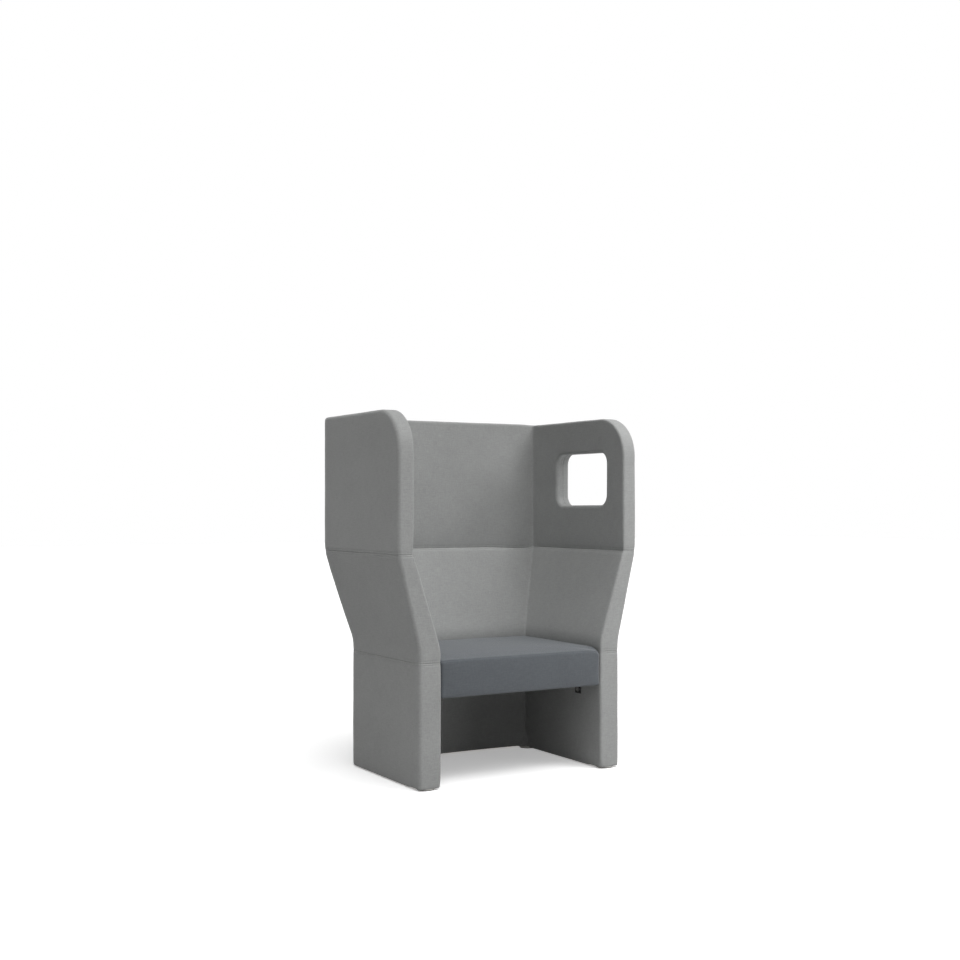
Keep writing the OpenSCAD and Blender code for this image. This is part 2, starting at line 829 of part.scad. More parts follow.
// The fabric skin between two sets of rings, open at the bottom
module skin(outer, inner, outer_top, inner_top) {
    n = len(outer[0]);
    m = len(outer);
    points = concat(
        [for (r = outer) for (p = r) p], [for (r = inner) for (p = r) p],
        [[0, seat_mid_y, outer_top], [0, seat_mid_y, inner_top]]
    );
    function o(i, j) = i * n + j % n;
    function v(i, j) = (m + i) * n + j % n;
    polyhedron(points, concat(
        [for (i = [0 : m - 2]) for (j = [0 : n - 1]) [o(i, j), o(i + 1, j), o(i + 1, j + 1)]],
        [for (i = [0 : m - 2]) for (j = [0 : n - 1]) [o(i, j), o(i + 1, j + 1), o(i, j + 1)]],
        [for (i = [0 : m - 2]) for (j = [0 : n - 1]) [v(i, j), v(i + 1, j + 1), v(i + 1, j)]],
        [for (i = [0 : m - 2]) for (j = [0 : n - 1]) [v(i, j), v(i, j + 1), v(i + 1, j + 1)]],
        [for (j = [0 : n - 1]) [2 * m * n, o(m - 1, j + 1), o(m - 1, j)]],
        [for (j = [0 : n - 1]) [2 * m * n + 1, v(m - 1, j), v(m - 1, j + 1)]],
        [for (j = [0 : n - 1]) [o(0, j), o(0, j + 1), v(0, j + 1)]],
        [for (j = [0 : n - 1]) [o(0, j), v(0, j + 1), v(0, j)]]
    ));
}

module seat_cover() color(seat_fabric) centred()
    skin(seat_rings(0, frame_z, cover_side_shares), seat_rings(seat_cover_t, frame_z, cover_side_shares),
        seat_top(0, seat_mid_y), seat_top(0, seat_mid_y) - seat_cover_t);

// The seat's crowned pad, and the foam edging round its frame
module seat_foam() color(foam_colour) centred() {
    loft(seat_rings(seat_cover_t, foam_z, pad_side_shares), seat_top(0, seat_mid_y) - seat_cover_t, foam_z);
    translate([0, 0, frame_z]) linear_extrude(foam_z - frame_z) difference() {
        polygon(seat_plan(seat_cover_t + seat_draw_in));
        translate([-frame_half_w, frame_front_y])
            square([2 * frame_half_w, frame_back_y - frame_front_y]);
    }
}

module seat_front_rail() color(timber) centred()
    translate([-frame_half_w, frame_front_y, frame_z])
        cube([2 * frame_half_w, seat_rail_t, seat_frame_h]);

module seat_rear_rail() color(timber) centred()
    translate([-frame_half_w, frame_back_y - seat_rail_t, frame_z])
        cube([2 * frame_half_w, seat_rail_t, seat_frame_h]);

rail_run = frame_back_y - frame_front_y - 2 * seat_rail_t;
screw_x = frame_half_w - seat_rail_t / 2;

module seat_screw_holes(d, low) {
    for (side = [-1, 1])
        for (y = [bracket_front_y, bracket_rear_y])
            for (k = [-1, 1])
                translate([side * screw_x, y + k * screw_span / 2, low])
                    cylinder(h = frame_z + screw_bite - low, d = d);
}

module seat_side_rails() color(timber) centred() {
    difference() {
        for (side = [-1, 1])
            on_side(side) translate([frame_half_w - seat_rail_t, frame_front_y + seat_rail_t, frame_z])
                cube([seat_rail_t, rail_run, seat_frame_h]);
        seat_screw_holes(screw_d, seat_z);
    }
}

module seat_corner_blocks() color(timber) centred() {
    x = frame_half_w - seat_rail_t;
    for (side = [-1, 1])
        on_side(side) translate([0, 0, frame_z]) {
            y1 = frame_front_y + seat_rail_t;
            y2 = frame_back_y - seat_rail_t;
            linear_extrude(seat_frame_h) polygon([[x, y1], [x, y1 + block_l], [x - block_l, y1]]);
            linear_extrude(seat_frame_h) polygon([[x, y2], [x - block_l, y2], [x, y2 - block_l]]);
        }
}

module seat_webbing() color([0.25, 0.25, 0.24]) centred() {
    wide = 2 * frame_half_w;
    deep = frame_back_y - frame_front_y;
    for (i = [1 : long_straps])
        translate([-frame_half_w + wide * i / (long_straps + 1) - strap_w / 2, frame_front_y, frame_top])
            cube([strap_w, deep, strap_t]);
    for (i = [1 : cross_straps])
        translate([-frame_half_w, frame_front_y + deep * i / (cross_straps + 1) - strap_w / 2,
            frame_top + strap_t])
            cube([wide, strap_w, strap_t]);
}

module seat_dust_cloth() color([0.06, 0.06, 0.06]) centred() {
    difference() {
        linear_extrude(frame_z) polygon(seat_plan(seat_cover_t));
        translate([-low_half_w, -over, -over]) cube([2 * low_half_w, low_depth, seat_z + over]);
        seat_screw_holes(screw_d + bolt_clear, seat_z - over);
    }
}

bracket_x = low_half_w - low_panel_t;

module seat_brackets() color(black_steel) centred() {
    difference() {
        for (side = [-1, 1])
            for (y = [bracket_front_y, bracket_rear_y])
                on_side(side) translate([bracket_x - bracket_t, y - bracket_w / 2, seat_z - bracket_h]) {
                    cube([bracket_t, bracket_w, bracket_h]);
                    translate([bracket_t - bracket_l, 0, bracket_h - bracket_t])
                        cube([bracket_l, bracket_w, bracket_t]);
                }
        for (side = [-1, 1])
            on_side(side) for (y = [bracket_front_y, bracket_rear_y])
                translate([bracket_x - bracket_t - over, y, bracket_bolt_z])
                    rotate([0, 90, 0]) cylinder(h = bracket_t + 2 * over, d = bolt_hole_d);
        seat_screw_holes(screw_d + bolt_clear, seat_z - bracket_t - over);
    }
}

module bracket_bolts() color(zinc) centred() {
    for (side = [-1, 1])
        on_side(side) for (y = [bracket_front_y, bracket_rear_y])
            translate([bracket_x - bracket_t, y, bracket_bolt_z]) rotate([0, 90, 0]) {
                cylinder(h = bracket_t + core_in + bolt_bite, d = bolt_d);
                translate([0, 0, -head_h]) cylinder(h = head_h, d = head_d);
            }
}

module seat_screws() color(zinc) centred() {
    low = seat_z - bracket_t;
    seat_screw_holes(screw_d, low);
    for (side = [-1, 1])
        for (y = [bracket_front_y, bracket_rear_y])
            for (k = [-1, 1])
                translate([side * screw_x, y + k * screw_span / 2, low - screw_head_h])
                    cylinder(h = screw_head_h, d = screw_head_d);
}

module panel_bolts() color(zinc) centred() {
    reach = barrel_off + bolt_past;
    for (side = [-1, 1])
        on_side(side) for (z = joint_heights)
            translate([core_x(z), joint_y(z) - reach, z]) rotate([-90, 0, 0])
                cylinder(h = 2 * reach, d = bolt_d);
}

module barrel_nuts() color(zinc) centred() {
    for (side = [-1, 1])
        on_side(side) for (z = joint_heights)
            for (way = [-1, 1])
                translate([core_x(z), joint_y(z) + way * barrel_off, z]) difference() {
                    rotate([0, 90, 0]) cylinder(h = barrel_l, d = barrel_d, center = true);
                    rotate([90, 0, 0]) cylinder(h = 2 * barrel_d, d = bolt_d, center = true);
                }
}

// Glides

insert_l = base_t - over;

module glide_inserts() color(zinc) centred() {
    for (p = glide_places)
        translate([p[0], p[1], floor_gap]) difference() {
            union() {
                cylinder(h = insert_l, d = insert_d);
                cylinder(h = insert_flange_t, d = insert_flange_d);
            }
            translate([0, 0, -over]) cylinder(h = base_t + 2 * over, d = stud_d + 2 * run_clear);
        }
}

pad_top = floor_gap - pad_gap;
pocket_z = pad_top - hex_h;

module glide_pad(i) color([0.83, 0.81, 0.76]) centred()
    translate([glide_places[i][0], glide_places[i][1], 0]) {
        difference() {
            translate([0, 0, sole_t]) cylinder(h = pad_top - sole_t, d = pad_d, $fn = 96);
            translate([0, 0, pocket_z]) cylinder(h = hex_h + over, d = hex_d + 2 * run_clear);
        }
    }

module glide_stud(i) color(zinc) centred()
    translate([glide_places[i][0], glide_places[i][1], pocket_z]) {
        cylinder(h = hex_h, d = hex_d, $fn = 6);
        cylinder(h = hex_h + stud_l, d = stud_d);
    }

module glide_sole(i) color([0.10, 0.10, 0.10]) centred()
    translate([glide_places[i][0], glide_places[i][1], 0]) cylinder(h = sole_t, d = sole_d, $fn = 96);

wing_cover_lower(-1);  // left_wing_cover_lower
wing_cover_middle(-1);  // left_wing_cover_middle
wing_cover_upper(-1);  // left_wing_cover_upper
wing_outer_foam(-1);  // left_wing_outer_foam
wing_inner_foam(-1);  // left_wing_inner_foam
wing_edge_foam(-1);  // left_wing_edge_foam
wing_outer_board(-1);  // left_wing_outer_board
wing_inner_board(-1);  // left_wing_inner_board
wing_stiles(-1);  // left_wing_stiles
wing_rails(-1);  // left_wing_rails
wing_base(-1);  // left_wing_base
wing_cover_lower(1);  // right_wing_cover_lower
wing_cover_middle(1);  // right_wing_cover_middle
wing_cover_upper(1);  // right_wing_cover_upper
wing_outer_foam(1);  // right_wing_outer_foam
wing_inner_foam(1);  // right_wing_inner_foam
wing_edge_foam(1);  // right_wing_edge_foam
wing_outer_board(1);  // right_wing_outer_board
wing_inner_board(1);  // right_wing_inner_board
wing_stiles(1);  // right_wing_stiles
wing_rails(1);  // right_wing_rails
wing_base(1);  // right_wing_base
window_strip_frame();
back_cover_lower();
back_cover_middle();
back_cover_upper();
back_outer_foam();
back_inner_foam();
back_top_foam();
back_outer_board();
back_inner_board();
back_end_stiles();
back_ribs();
back_base();
seat_cover();
seat_foam();
seat_front_rail();
seat_rear_rail();
seat_side_rails();
seat_corner_blocks();
seat_webbing();
seat_dust_cloth();
seat_brackets();
bracket_bolts();
seat_screws();
panel_bolts();
barrel_nuts();
glide_inserts();
glide_pad(0);  // front_left_pad
glide_stud(0);  // front_left_stud
glide_sole(0);  // front_left_sole
glide_pad(1);  // front_right_pad
glide_stud(1);  // front_right_stud
glide_sole(1);  // front_right_sole
glide_pad(2);  // rear_left_pad
glide_stud(2);  // rear_left_stud
glide_sole(2);  // rear_left_sole
glide_pad(3);  // rear_right_pad
glide_stud(3);  // rear_right_stud
glide_sole(3);  // rear_right_sole
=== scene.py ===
# The looks of the acoustic high back lounge chair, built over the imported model.
import bpy
import bmesh
import json
import math
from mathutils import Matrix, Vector, geometry, noise


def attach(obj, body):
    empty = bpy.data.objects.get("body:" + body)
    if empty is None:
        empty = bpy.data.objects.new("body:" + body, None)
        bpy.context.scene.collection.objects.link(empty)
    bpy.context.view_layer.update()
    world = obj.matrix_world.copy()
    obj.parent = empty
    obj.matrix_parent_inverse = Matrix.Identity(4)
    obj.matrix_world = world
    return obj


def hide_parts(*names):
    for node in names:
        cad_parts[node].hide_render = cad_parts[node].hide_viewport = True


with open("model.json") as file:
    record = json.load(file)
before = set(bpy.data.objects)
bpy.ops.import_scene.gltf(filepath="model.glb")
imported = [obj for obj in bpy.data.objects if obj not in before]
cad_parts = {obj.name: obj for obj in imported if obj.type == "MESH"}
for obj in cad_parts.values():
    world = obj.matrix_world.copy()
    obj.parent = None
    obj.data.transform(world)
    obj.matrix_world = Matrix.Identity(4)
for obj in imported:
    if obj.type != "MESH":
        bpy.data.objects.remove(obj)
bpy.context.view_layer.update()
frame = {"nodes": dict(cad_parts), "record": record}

# Sizes of the shell, as in the CAD source, in metres. Y runs from the wing fronts rearwards.
CHAIR_H = 1.370
GAP = 0.009
LOW_HALF_W, TOP_HALF_W = 0.441, 0.525
LOW_T, TOP_T = 0.088, 0.062
LOW_D, TOP_D = 0.626, 0.709
LOW_SEAM, TOP_SEAM = 0.456, 0.846
# The flare lies between two heights. Its bends are rounded over this far each way, less so inside at the top.
FLARE_A, FLARE_B = 0.500, 0.845
BEND, INNER_BEND = 0.026, 0.005
REAR_FILL = 0.008
# The back bows by BOW, turns round its corners, and returns along the wings as far as RETURN
BOW = 0.020
CORNER_R = 0.096
RETURN = 0.036
# The inner corners have the foot's radius up to FOOT_TOP_A, and their own from FOOT_TOP_B on
INNER_R, FOOT_INNER_R = 0.010, 0.031
FOOT_TOP_A, FOOT_TOP_B = 0.034, 0.068
LEAN = 2 * math.atan(BOW / (TOP_HALF_W - CORNER_R))
Y0 = -(TOP_D + BOW) / 2
# The wings' upper front corner and the window
FRONT_R = 0.155
WIN_Y1, WIN_Y2, WIN_Z1, WIN_Z2, WIN_R = 0.113, 0.465, 1.022, 1.236, 0.045
# Radii of the rounded edges
EDGE_R, INNER_EDGE_R, WIN_EDGE_R = 0.013, 0.008, 0.010
FOOT_EDGE_R, FOOT_EDGE_H = 0.014, 0.035

SEAT_HALF_W = 0.3526
SEAT_BACK = 0.5376
SEAT_LOW = 0.330
SEAT_SEAM = 0.463


def mix(a, b, k):
    return a + (b - a) * k


def smooth(a, b, x):
    t = min(max((x - a) / (b - a), 0.0), 1.0)
    return t * t * (3 - 2 * t)


def bend(d, by=BEND):
    """A ramp that starts at 0 and is rounded over the distance by, before and behind its start."""
    if d <= -by:
        return 0.0
    if d < by:
        return (d + by) ** 2 / (4 * by)
    return d


def flare(z):
    """How far the shell has flared at a height: 0 below, 1 above."""
    return (bend(z - FLARE_A) - bend(z - FLARE_B)) / (FLARE_B - FLARE_A)


def inner_flare(z):
    """The inner faces turn sharply at the upper seam, where their two pads meet."""
    return (bend(z - FLARE_A) - bend(z - FLARE_B, INNER_BEND)) / (FLARE_B - FLARE_A)


def half_w(z):
    return mix(LOW_HALF_W, TOP_HALF_W, flare(z))


def thick(z):
    return mix(LOW_T, TOP_T, flare(z))


def outer_y(z):
    return mix(LOW_D, TOP_D, flare(z))


def rear_y(z):
    """The outside of the back, which fills out a little halfway up the flare."""
    return outer_y(z) + REAR_FILL * math.sin(math.pi * flare(z))


def inner_x(z):
    return mix(LOW_HALF_W - LOW_T, TOP_HALF_W - TOP_T, inner_flare(z))


def inner_y(z):
    return mix(LOW_D - LOW_T, TOP_D - TOP_T, inner_flare(z))


def inner_r(z):
    """The inner corners are tight creases that round out at the foot, over the corner of the base board."""
    return mix(FOOT_INNER_R, INNER_R, smooth(FOOT_TOP_A, FOOT_TOP_B, z))


def joint_y(z):
    """Where the wings' covers meet the back's."""
    return inner_y(z) - RETURN


# Mesh helpers

WELD = 2e-5


def make_object(name, verts, faces, uvs=None, weld=0.0, outward=None):
    """A smooth mesh. With outward its faces are turned so that those farthest that way look outwards."""
    mesh = bpy.data.meshes.new(name)
    mesh.from_pydata([tuple(v) for v in verts], [], [tuple(f) for f in faces])
    if uvs is not None:
        layer = mesh.uv_layers.new(name="UVMap")
        for loop in mesh.loops:
            layer.data[loop.index].uv = uvs[loop.vertex_index]
    obj = bpy.data.objects.new(name, mesh)
    bpy.context.scene.collection.objects.link(obj)
    if weld:
        bm = bmesh.new()
        bm.from_mesh(mesh)
        bmesh.ops.remove_doubles(bm, verts=bm.verts, dist=weld)
        bmesh.ops.dissolve_degenerate(bm, edges=bm.edges, dist=1e-7)
        if outward is not None:
            bmesh.ops.recalc_face_normals(bm, faces=bm.faces)
            far = max(bm.faces, key=lambda f: f.calc_center_median().dot(outward))
            if far.normal.dot(outward) < 0:
                bmesh.ops.reverse_faces(bm, faces=bm.faces)
        bm.to_mesh(mesh)
        bm.free()
    for p in mesh.polygons:
        p.use_smooth = True
    mesh.update()
    return obj


class Builder:
    """Collects grids of points with their texture places, in metres."""

    def __init__(self):
        self.verts, self.faces, self.uvs = [], [], []

    def grid(self, rows, uv_rows, flip=False):
        base, n = len(self.verts), len(rows[0])
        for r, u in zip(rows, uv_rows):
            self.verts.extend(r)
            self.uvs.extend(u)
        for i in range(len(rows) - 1):
            for j in range(n - 1):
                a = base + i * n + j
                q = (a, a + 1, a + n + 1, a + n)
                self.faces.append(q[::-1] if flip else q)

    def tris(self, verts, uvs, faces, flip=False):
        base = len(self.verts)
        self.verts.extend(verts)
        self.uvs.extend(uvs)
        for f in faces:
            q = tuple(base + k for k in f)
            self.faces.append(q[::-1] if flip else q)

    def build(self, name, outward=None):
        return make_object(name, self.verts, self.faces, self.uvs, WELD, outward)


STEP, LEAST_STEP = 0.014, 0.00035


def spread(a, b, dense_a=(), dense_b=(), extra=()):
    """Values from a to b: fine ones near the two ends, and about one step apart between."""
    out = [a + d for d in dense_a] + [b - d for d in dense_b] + [x for x in extra if a < x < b]
    lo = a + (dense_a[-1] if dense_a else 0)
    hi = b - (dense_b[-1] if dense_b else 0)
    n = max(2, round((hi - lo) / STEP))
    out += [lo + (hi - lo) * i / n for i in range(n + 1)]
    out = sorted(out)
    kept = [out[0]]
    for x in out[1:]:
        if x - kept[-1] > LEAST_STEP:
            kept.append(x)
    kept[-1] = b
    return kept


# Distances from a seam, a hem and a joint at which rows of points lie, then heights of the rows at the foot
SEAM_ROWS = (0, 0.0005, 0.0012, 0.0022, 0.0035, 0.0055, 0.0066, 0.0074, 0.0082, 0.0094, 0.013, 0.019)
HEM_ROWS = (0, 0.0006, 0.0014, 0.0025, 0.004, 0.008)
JOINT_ROWS = (0, 0.0005, 0.0012, 0.0022, 0.0035, 0.006, 0.011)
FOOT_ROWS = [0.017, 0.026, FOOT_TOP_A, 0.041, 0.048, 0.055, 0.062, FOOT_TOP_B]
BEND_ROWS = [c + BEND * k / 4 for c in (FLARE_A, FLARE_B) for k in range(-4, 5)]
BEND_ROWS += [FLARE_B + INNER_BEND * k / 2 for k in (-2, -1, 1, 2)] + FOOT_ROWS


def roll(d, r):
    """Depth of a rounded edge of radius r at a distance d from it."""
    if d >= r:
        return 0.0
    d = max(d, 0.0)
    return r - math.sqrt(max(r * r - (r - d) ** 2, 0.0))


def press(obj, depth_at):
    """Moves each vertex inwards along its normal by depth_at(point, normal)."""
    bm = bmesh.new()
    bm.from_mesh(obj.data)
    bm.normal_update()
    moves = [(v, v.normal.copy()) for v in bm.verts]
    for v, n in moves:
        v.co -= n * depth_at(v.co, n)
    bm.to_mesh(obj.data)
    bm.free()
    obj.data.update()


def wander(p, waves):
    """Soft unevenness, the same each run. Each wave is a scale, an amount and a shift along x."""
    return sum(noise.noise(Vector((p.x * k + shift, p.y * k, p.z * k))) * amount for k, amount, shift in waves)


# Wings

TIERS = {"lower": (GAP, LOW_SEAM), "middle": (LOW_SEAM, TOP_SEAM), "upper": (TOP_SEAM, CHAIR_H)}
FRONT_STEPS, ROLL_STEPS, FLAT_STEPS, FACE_STEPS = 20, 6, 9, 44


def free_edge(tier, e):
    """Points of a wing's free edge, inset by e, as (y, z, length along it)."""
    a, b = TIERS[tier]
    if tier != "upper":
        low = HEM_ROWS if tier == "lower" else SEAM_ROWS
        zs = spread(a, b, low, SEAM_ROWS, BEND_ROWS)
        return [(e, z, z) for z in zs]
    r = FRONT_R
    zs = spread(a, b - r, SEAM_ROWS, (), BEND_ROWS)
    pts = [(e, z, z) for z in zs]
    for i in range(1, FRONT_STEPS + 1):
        t = math.pi / 2 * i / FRONT_STEPS
        pts.append((r - (r - e) * math.cos(t), b - r + (r - e) * math.sin(t), b - r + r * t))
    back = joint_y(b)
    ys = spread(r, back, (), JOINT_ROWS)
    s0 = b - r + r * math.pi / 2
    pts += [(y, b - e, s0 + y - r) for y in ys[1:]]
    return pts


def wing_x(side, out, z, depth):
    """X of a point that lies this deep under a wing's outer or inner face."""
    return side * (half_w(z) - depth if out else inner_x(z) + depth)


def rolls_of(r):
    """Over an edge of radius r: (inset from the free edge, depth under the face)."""
    turns = [math.pi / 2 * i / ROLL_STEPS for i in range(ROLL_STEPS + 1)]
    return [(r * (1 - math.sin(t)), r * (1 - math.cos(t))) for t in turns]


def foot_r(z, r):
    """Edges grow rounder towards the foot of a wing."""
    return mix(FOOT_EDGE_R, r, smooth(GAP, GAP + FOOT_EDGE_H, z))


def wing_strip(b, side, tier):
    """The rounded front and top edge of a wing, from the outer face to the inner one."""
    edge = free_edge(tier, 0.0)
    outer = [free_edge(tier, e) for e, _ in rolls_of(EDGE_R)]
    inner = [free_edge(tier, e) for e, _ in rolls_of(INNER_EDGE_R)]
    rows, uv_rows = [], []
    for k in range(len(edge)):
        row, uv = [], []
        s = edge[k][2]
        for i, (_, depth) in enumerate(rolls_of(EDGE_R)):
            y, z, _ = outer[i][k]
            if tier == "lower":
                y, depth = (v * foot_r(z, EDGE_R) / EDGE_R for v in (y, depth))
            row.append(Vector((wing_x(side, True, z, depth), Y0 + y, z)))
            uv.append((-EDGE_R * math.pi / 2 * (1 - i / ROLL_STEPS), s))
        y, z, _ = edge[k]
        x1 = row[-1].x
        last = []
        for i, (_, depth) in enumerate(reversed(rolls_of(INNER_EDGE_R))):
            y2, z2, _ = inner[ROLL_STEPS - i][k]
            if tier == "lower":
                y2, depth = (v * foot_r(z2, INNER_EDGE_R) / INNER_EDGE_R for v in (y2, depth))
            last.append(Vector((wing_x(side, False, z2, depth), Y0 + y2, z2)))
        w = abs(x1 - last[0].x)
        for j in range(1, FLAT_STEPS):
            row.append(Vector((mix(x1, last[0].x, j / FLAT_STEPS), Y0 + y, z)))
            uv.append((w * j / FLAT_STEPS, s))
        row += last
        uv += [(w + INNER_EDGE_R * math.pi / 2 * i / ROLL_STEPS, s) for i in range(ROLL_STEPS + 1)]
        rows.append(row)
        uv_rows.append(uv)
    b.grid(rows, uv_rows, flip=side < 0)


WINDOW_STEPS = 10


def window_loop(e):
    """Points along the window's outline, widened by e."""
    r = WIN_R + e
    pts = []
    corners = [(WIN_Y2 - WIN_R, WIN_Z2 - WIN_R, 0), (WIN_Y1 + WIN_R, WIN_Z2 - WIN_R, 90),
               (WIN_Y1 + WIN_R, WIN_Z1 + WIN_R, 180), (WIN_Y2 - WIN_R, WIN_Z1 + WIN_R, 270)]
    for c, (y, z, a0) in enumerate(corners):
        for i in range(WINDOW_STEPS + 1):
            t = math.radians(a0 + 90 * i / WINDOW_STEPS)
            pts.append((y + r * math.cos(t), z + r * math.sin(t)))
        ny, nz, na = corners[(c + 1) % 4]
        t = math.radians(na)
        q = (ny + r * math.cos(t), nz + r * math.sin(t))
        p = pts[-1]
        n = max(2, round(math.hypot(q[0] - p[0], q[1] - p[1]) / STEP))
        pts += [(mix(p[0], q[0], i / n), mix(p[1], q[1], i / n)) for i in range(1, n)]
    return pts


def inside(poly, y, z):
    """True where a point lies inside a closed outline."""
    hit = False
    for (y1, z1), (y2, z2) in zip(poly, poly[1:] + poly[:1]):
        if (z1 > z) != (z2 > z) and y < (y2 - y1) * (z - z1) / (z2 - z1) + y1:
            hit = not hit
    return hit


def near(loop, y, z):
    """The distance from a point to a closed outline."""
    best = math.inf
    for (y1, z1), (y2, z2) in zip(loop, loop[1:] + loop[:1]):
        dy, dz = y2 - y1, z2 - z1
        k = min(max(((y - y1) * dy + (z - z1) * dz) / max(dy * dy + dz * dz, 1e-12), 0), 1)
        best = min(best, math.hypot(y - y1 - k * dy, z - z1 - k * dz))
    return best


# Inner points keep CLEAR from the edge and the window, and TOP_CLEAR from the top. Near the seam, rows run to
# the edge.
CLEAR, TOP_CLEAR, SEAM_ZONE = 0.005, 0.004, 0.02


def wing_face(b, side, tier, out, window):
    """A wing's outer or inner face inside its rounded edge: rows of quads, or triangles in the upper tier."""
    a, top = TIERS[tier]
    r = EDGE_R if out else INNER_EDGE_R
    front = [(y, z) for y, z, _ in free_edge(tier, r)]
    if tier != "upper":
        rows, uv_rows = [], []
        for _, z in front:
            ys = resample(foot_r(z, r) if tier == "lower" else r, joint_y(z))
            rows.append([Vector((wing_x(side, out, z, 0), Y0 + y, z)) for y in ys])
            uv_rows.append([(y, z) for y in ys])
        b.grid(rows, uv_rows, flip=(side > 0) != out)
        return
    zs = spread(a, top - r, SEAM_ROWS, (), BEND_ROWS)
    rear = [(joint_y(z), z) for z in reversed(zs)]
    low = [(y, a) for y in reversed(resample(r, joint_y(a)))]
    loop = front[:-1] + rear[:-1] + low[:-1]
    holes = [window_loop(WIN_EDGE_R)] if window else []
    pts = list(loop)
    edges = [(i, (i + 1) % len(loop)) for i in range(len(loop))]
    for h in holes:
        k = len(pts)
        pts += h
        edges += [(k + i, k + (i + 1) % len(h)) for i in range(len(h))]
    for z in zs[1:]:
        for y in resample(r, joint_y(z))[1:-1]:
            if near(front, y, z) < CLEAR and z > a + SEAM_ZONE:
                continue
            if z > top - r - TOP_CLEAR or not inside(loop, y, z):
                continue
            if any(inside(h, y, z) or near(h, y, z) < CLEAR for h in holes):
                continue
            pts.append((y, z))
    verts, _, faces, _, _, _ = geometry.delaunay_2d_cdt([Vector(p) for p in pts], edges, [], 0, 1e-6)
    kept = []
    for f in faces:
        cy = sum(verts[i][0] for i in f) / 3
        cz = sum(verts[i][1] for i in f) / 3
        if inside(loop, cy, cz) and not any(inside(h, cy, cz) for h in holes):
            kept.append(f)
    b.tris([Vector((wing_x(side, out, v[1], 0), Y0 + v[0], v[1])) for v in verts],
           [(v[0], v[1]) for v in verts], kept, flip=(side > 0) != out)


def resample(y1, y2):
    """Places from the front to the joint, with fine ones at the joint."""
    fine = [y2 - d for d in reversed(JOINT_ROWS)]
    k = FACE_STEPS - len(fine) + 1
    return [mix(y1, fine[0], i / k) for i in range(k)] + fine


# Shares across the window's reveal, and the depth of the seam in its middle
REVEAL = (0.14, 0.28, 0.40, 0.455, 0.48, 0.5, 0.52, 0.545, 0.60, 0.72, 0.86)
REVEAL_DIP = {0.48: 0.0007, 0.5: 0.0018, 0.52: 0.0007}
# The cloth's length round the rounded edge, in radii
ROLL_CLOTH = 1.5


def window_strip(b, side):
    """The rounded edges and the reveal of the window."""
    rolls = rolls_of(WIN_EDGE_R)
    loops = [window_loop(e) for e, _ in rolls]
    base = window_loop(0.0)
    n = len(base)
    w = thick((WIN_Z1 + WIN_Z2) / 2) - 2 * WIN_EDGE_R
    rows, uv_rows = [], []
    s = 0.0
    for k in range(n + 1):
        j = k % n
        if k:
            s += math.hypot(base[j][0] - base[k - 1][0], base[j][1] - base[k - 1][1])
        row, uv = [], []
        for i in range(len(rolls)):
            y, z = loops[i][j]
            row.append(Vector((wing_x(side, True, z, rolls[i][1]), Y0 + y, z)))
            uv.append((-WIN_EDGE_R * (ROLL_STEPS - i) / ROLL_STEPS * ROLL_CLOTH, s))
        for f in REVEAL:
            e = REVEAL_DIP.get(f, 0.0)
            y, z = window_loop(e)[j] if e else base[j]
            row.append(Vector((wing_x(side, True, z, WIN_EDGE_R + w * f), Y0 + y, z)))
            uv.append((w * f, s))
        for i in range(len(rolls) - 1, -1, -1):
            y, z = loops[i][j]
            row.append(Vector((wing_x(side, False, z, rolls[i][1]), Y0 + y, z)))
            uv.append((w + WIN_EDGE_R * (ROLL_STEPS - i) / ROLL_STEPS * ROLL_CLOTH, s))
        rows.append(row)
        uv_rows.append(uv)
    b.grid(rows, uv_rows, flip=side > 0)


# Up to AT_JOINT behind the joint a point counts as the wing's, and from PAST_JOINT on as the back's
AT_JOINT, PAST_JOINT = 0.0005, 0.001
# Where outside turns to inside over a wing's edge, in shares of its thickness
TURN_A, TURN_B = 0.5, 0.95


def on_inner_side(p):
    """True for points nearer to the inner face of the shell than to its outer face."""
    if p.y - Y0 < joint_y(p.z):
        return abs(p.x) < half_w(p.z) - thick(p.z) / 2
    return p.y - Y0 < inner_y(p.z) + BOW + thick(p.z) / 2 and abs(p.x) < half_w(p.z) - thick(p.z) / 2


def inner_share(p):
    """0 on the outer face, 1 on the inner face, and an even change over the edge between them."""
    if p.y - Y0 < joint_y(p.z) + AT_JOINT:
        return smooth(TURN_A, TURN_B, (half_w(p.z) - abs(p.x)) / thick(p.z))
    return 1.0 if on_inner_side(p) else 0.0


# Seams: their radius, the share of it that is pressed outside and inside, and the shallow dip round them
SEAM_R, SEAM_OUT, SEAM_IN = 0.0028, 0.75, 0.5
DIP, DIP_REACH = 0.0008, 0.010
# The upper seam draws its neighbourhood in: on the wings, on the back, and for the band under it
DRAW, DRAW_BACK = 0.0040, 0.0066
REACH, REACH_BACK, REACH_UNDER = 0.032, 0.075, 0.007
# Over these distances from an inner corner the draw on the back grows from the wings' to its own
DRAW_ZONE = (0.0, 0.08)
# The corners hold the cover: it is pressed less over these distances from them, and a seam keeps this share
HOLD_ZONE, HELD_SEAM = (0.012, 0.060), 0.4
# Stitch rows beside the seams
STITCH_AT, STITCH_W = 0.0078, 0.0010
STITCH_ABOVE, STITCH_UNDER = 0.0007, 0.0009
# The hem is rounded, less so where the base board of the back is near, and hangs lower behind the front glides
HEM_R, BACK_HEM_R, BACK_HEM_X = 0.006, 0.003, 0.33
HEM_DROP, HEM_REACH, FRONT_SHARE = 0.0055, 0.06, 0.5
# The drop grows to its full size between these depths, and along the back it fades out between these widths
DROP_Y, DROP_X_IN, DROP_X_OUT = (0.074, 0.092), (0.31, 0.345), (0.25, 0.40)
# Where a wing's cover meets the back's
JOINT_DIP, JOINT_W = 0.0005, 0.0011
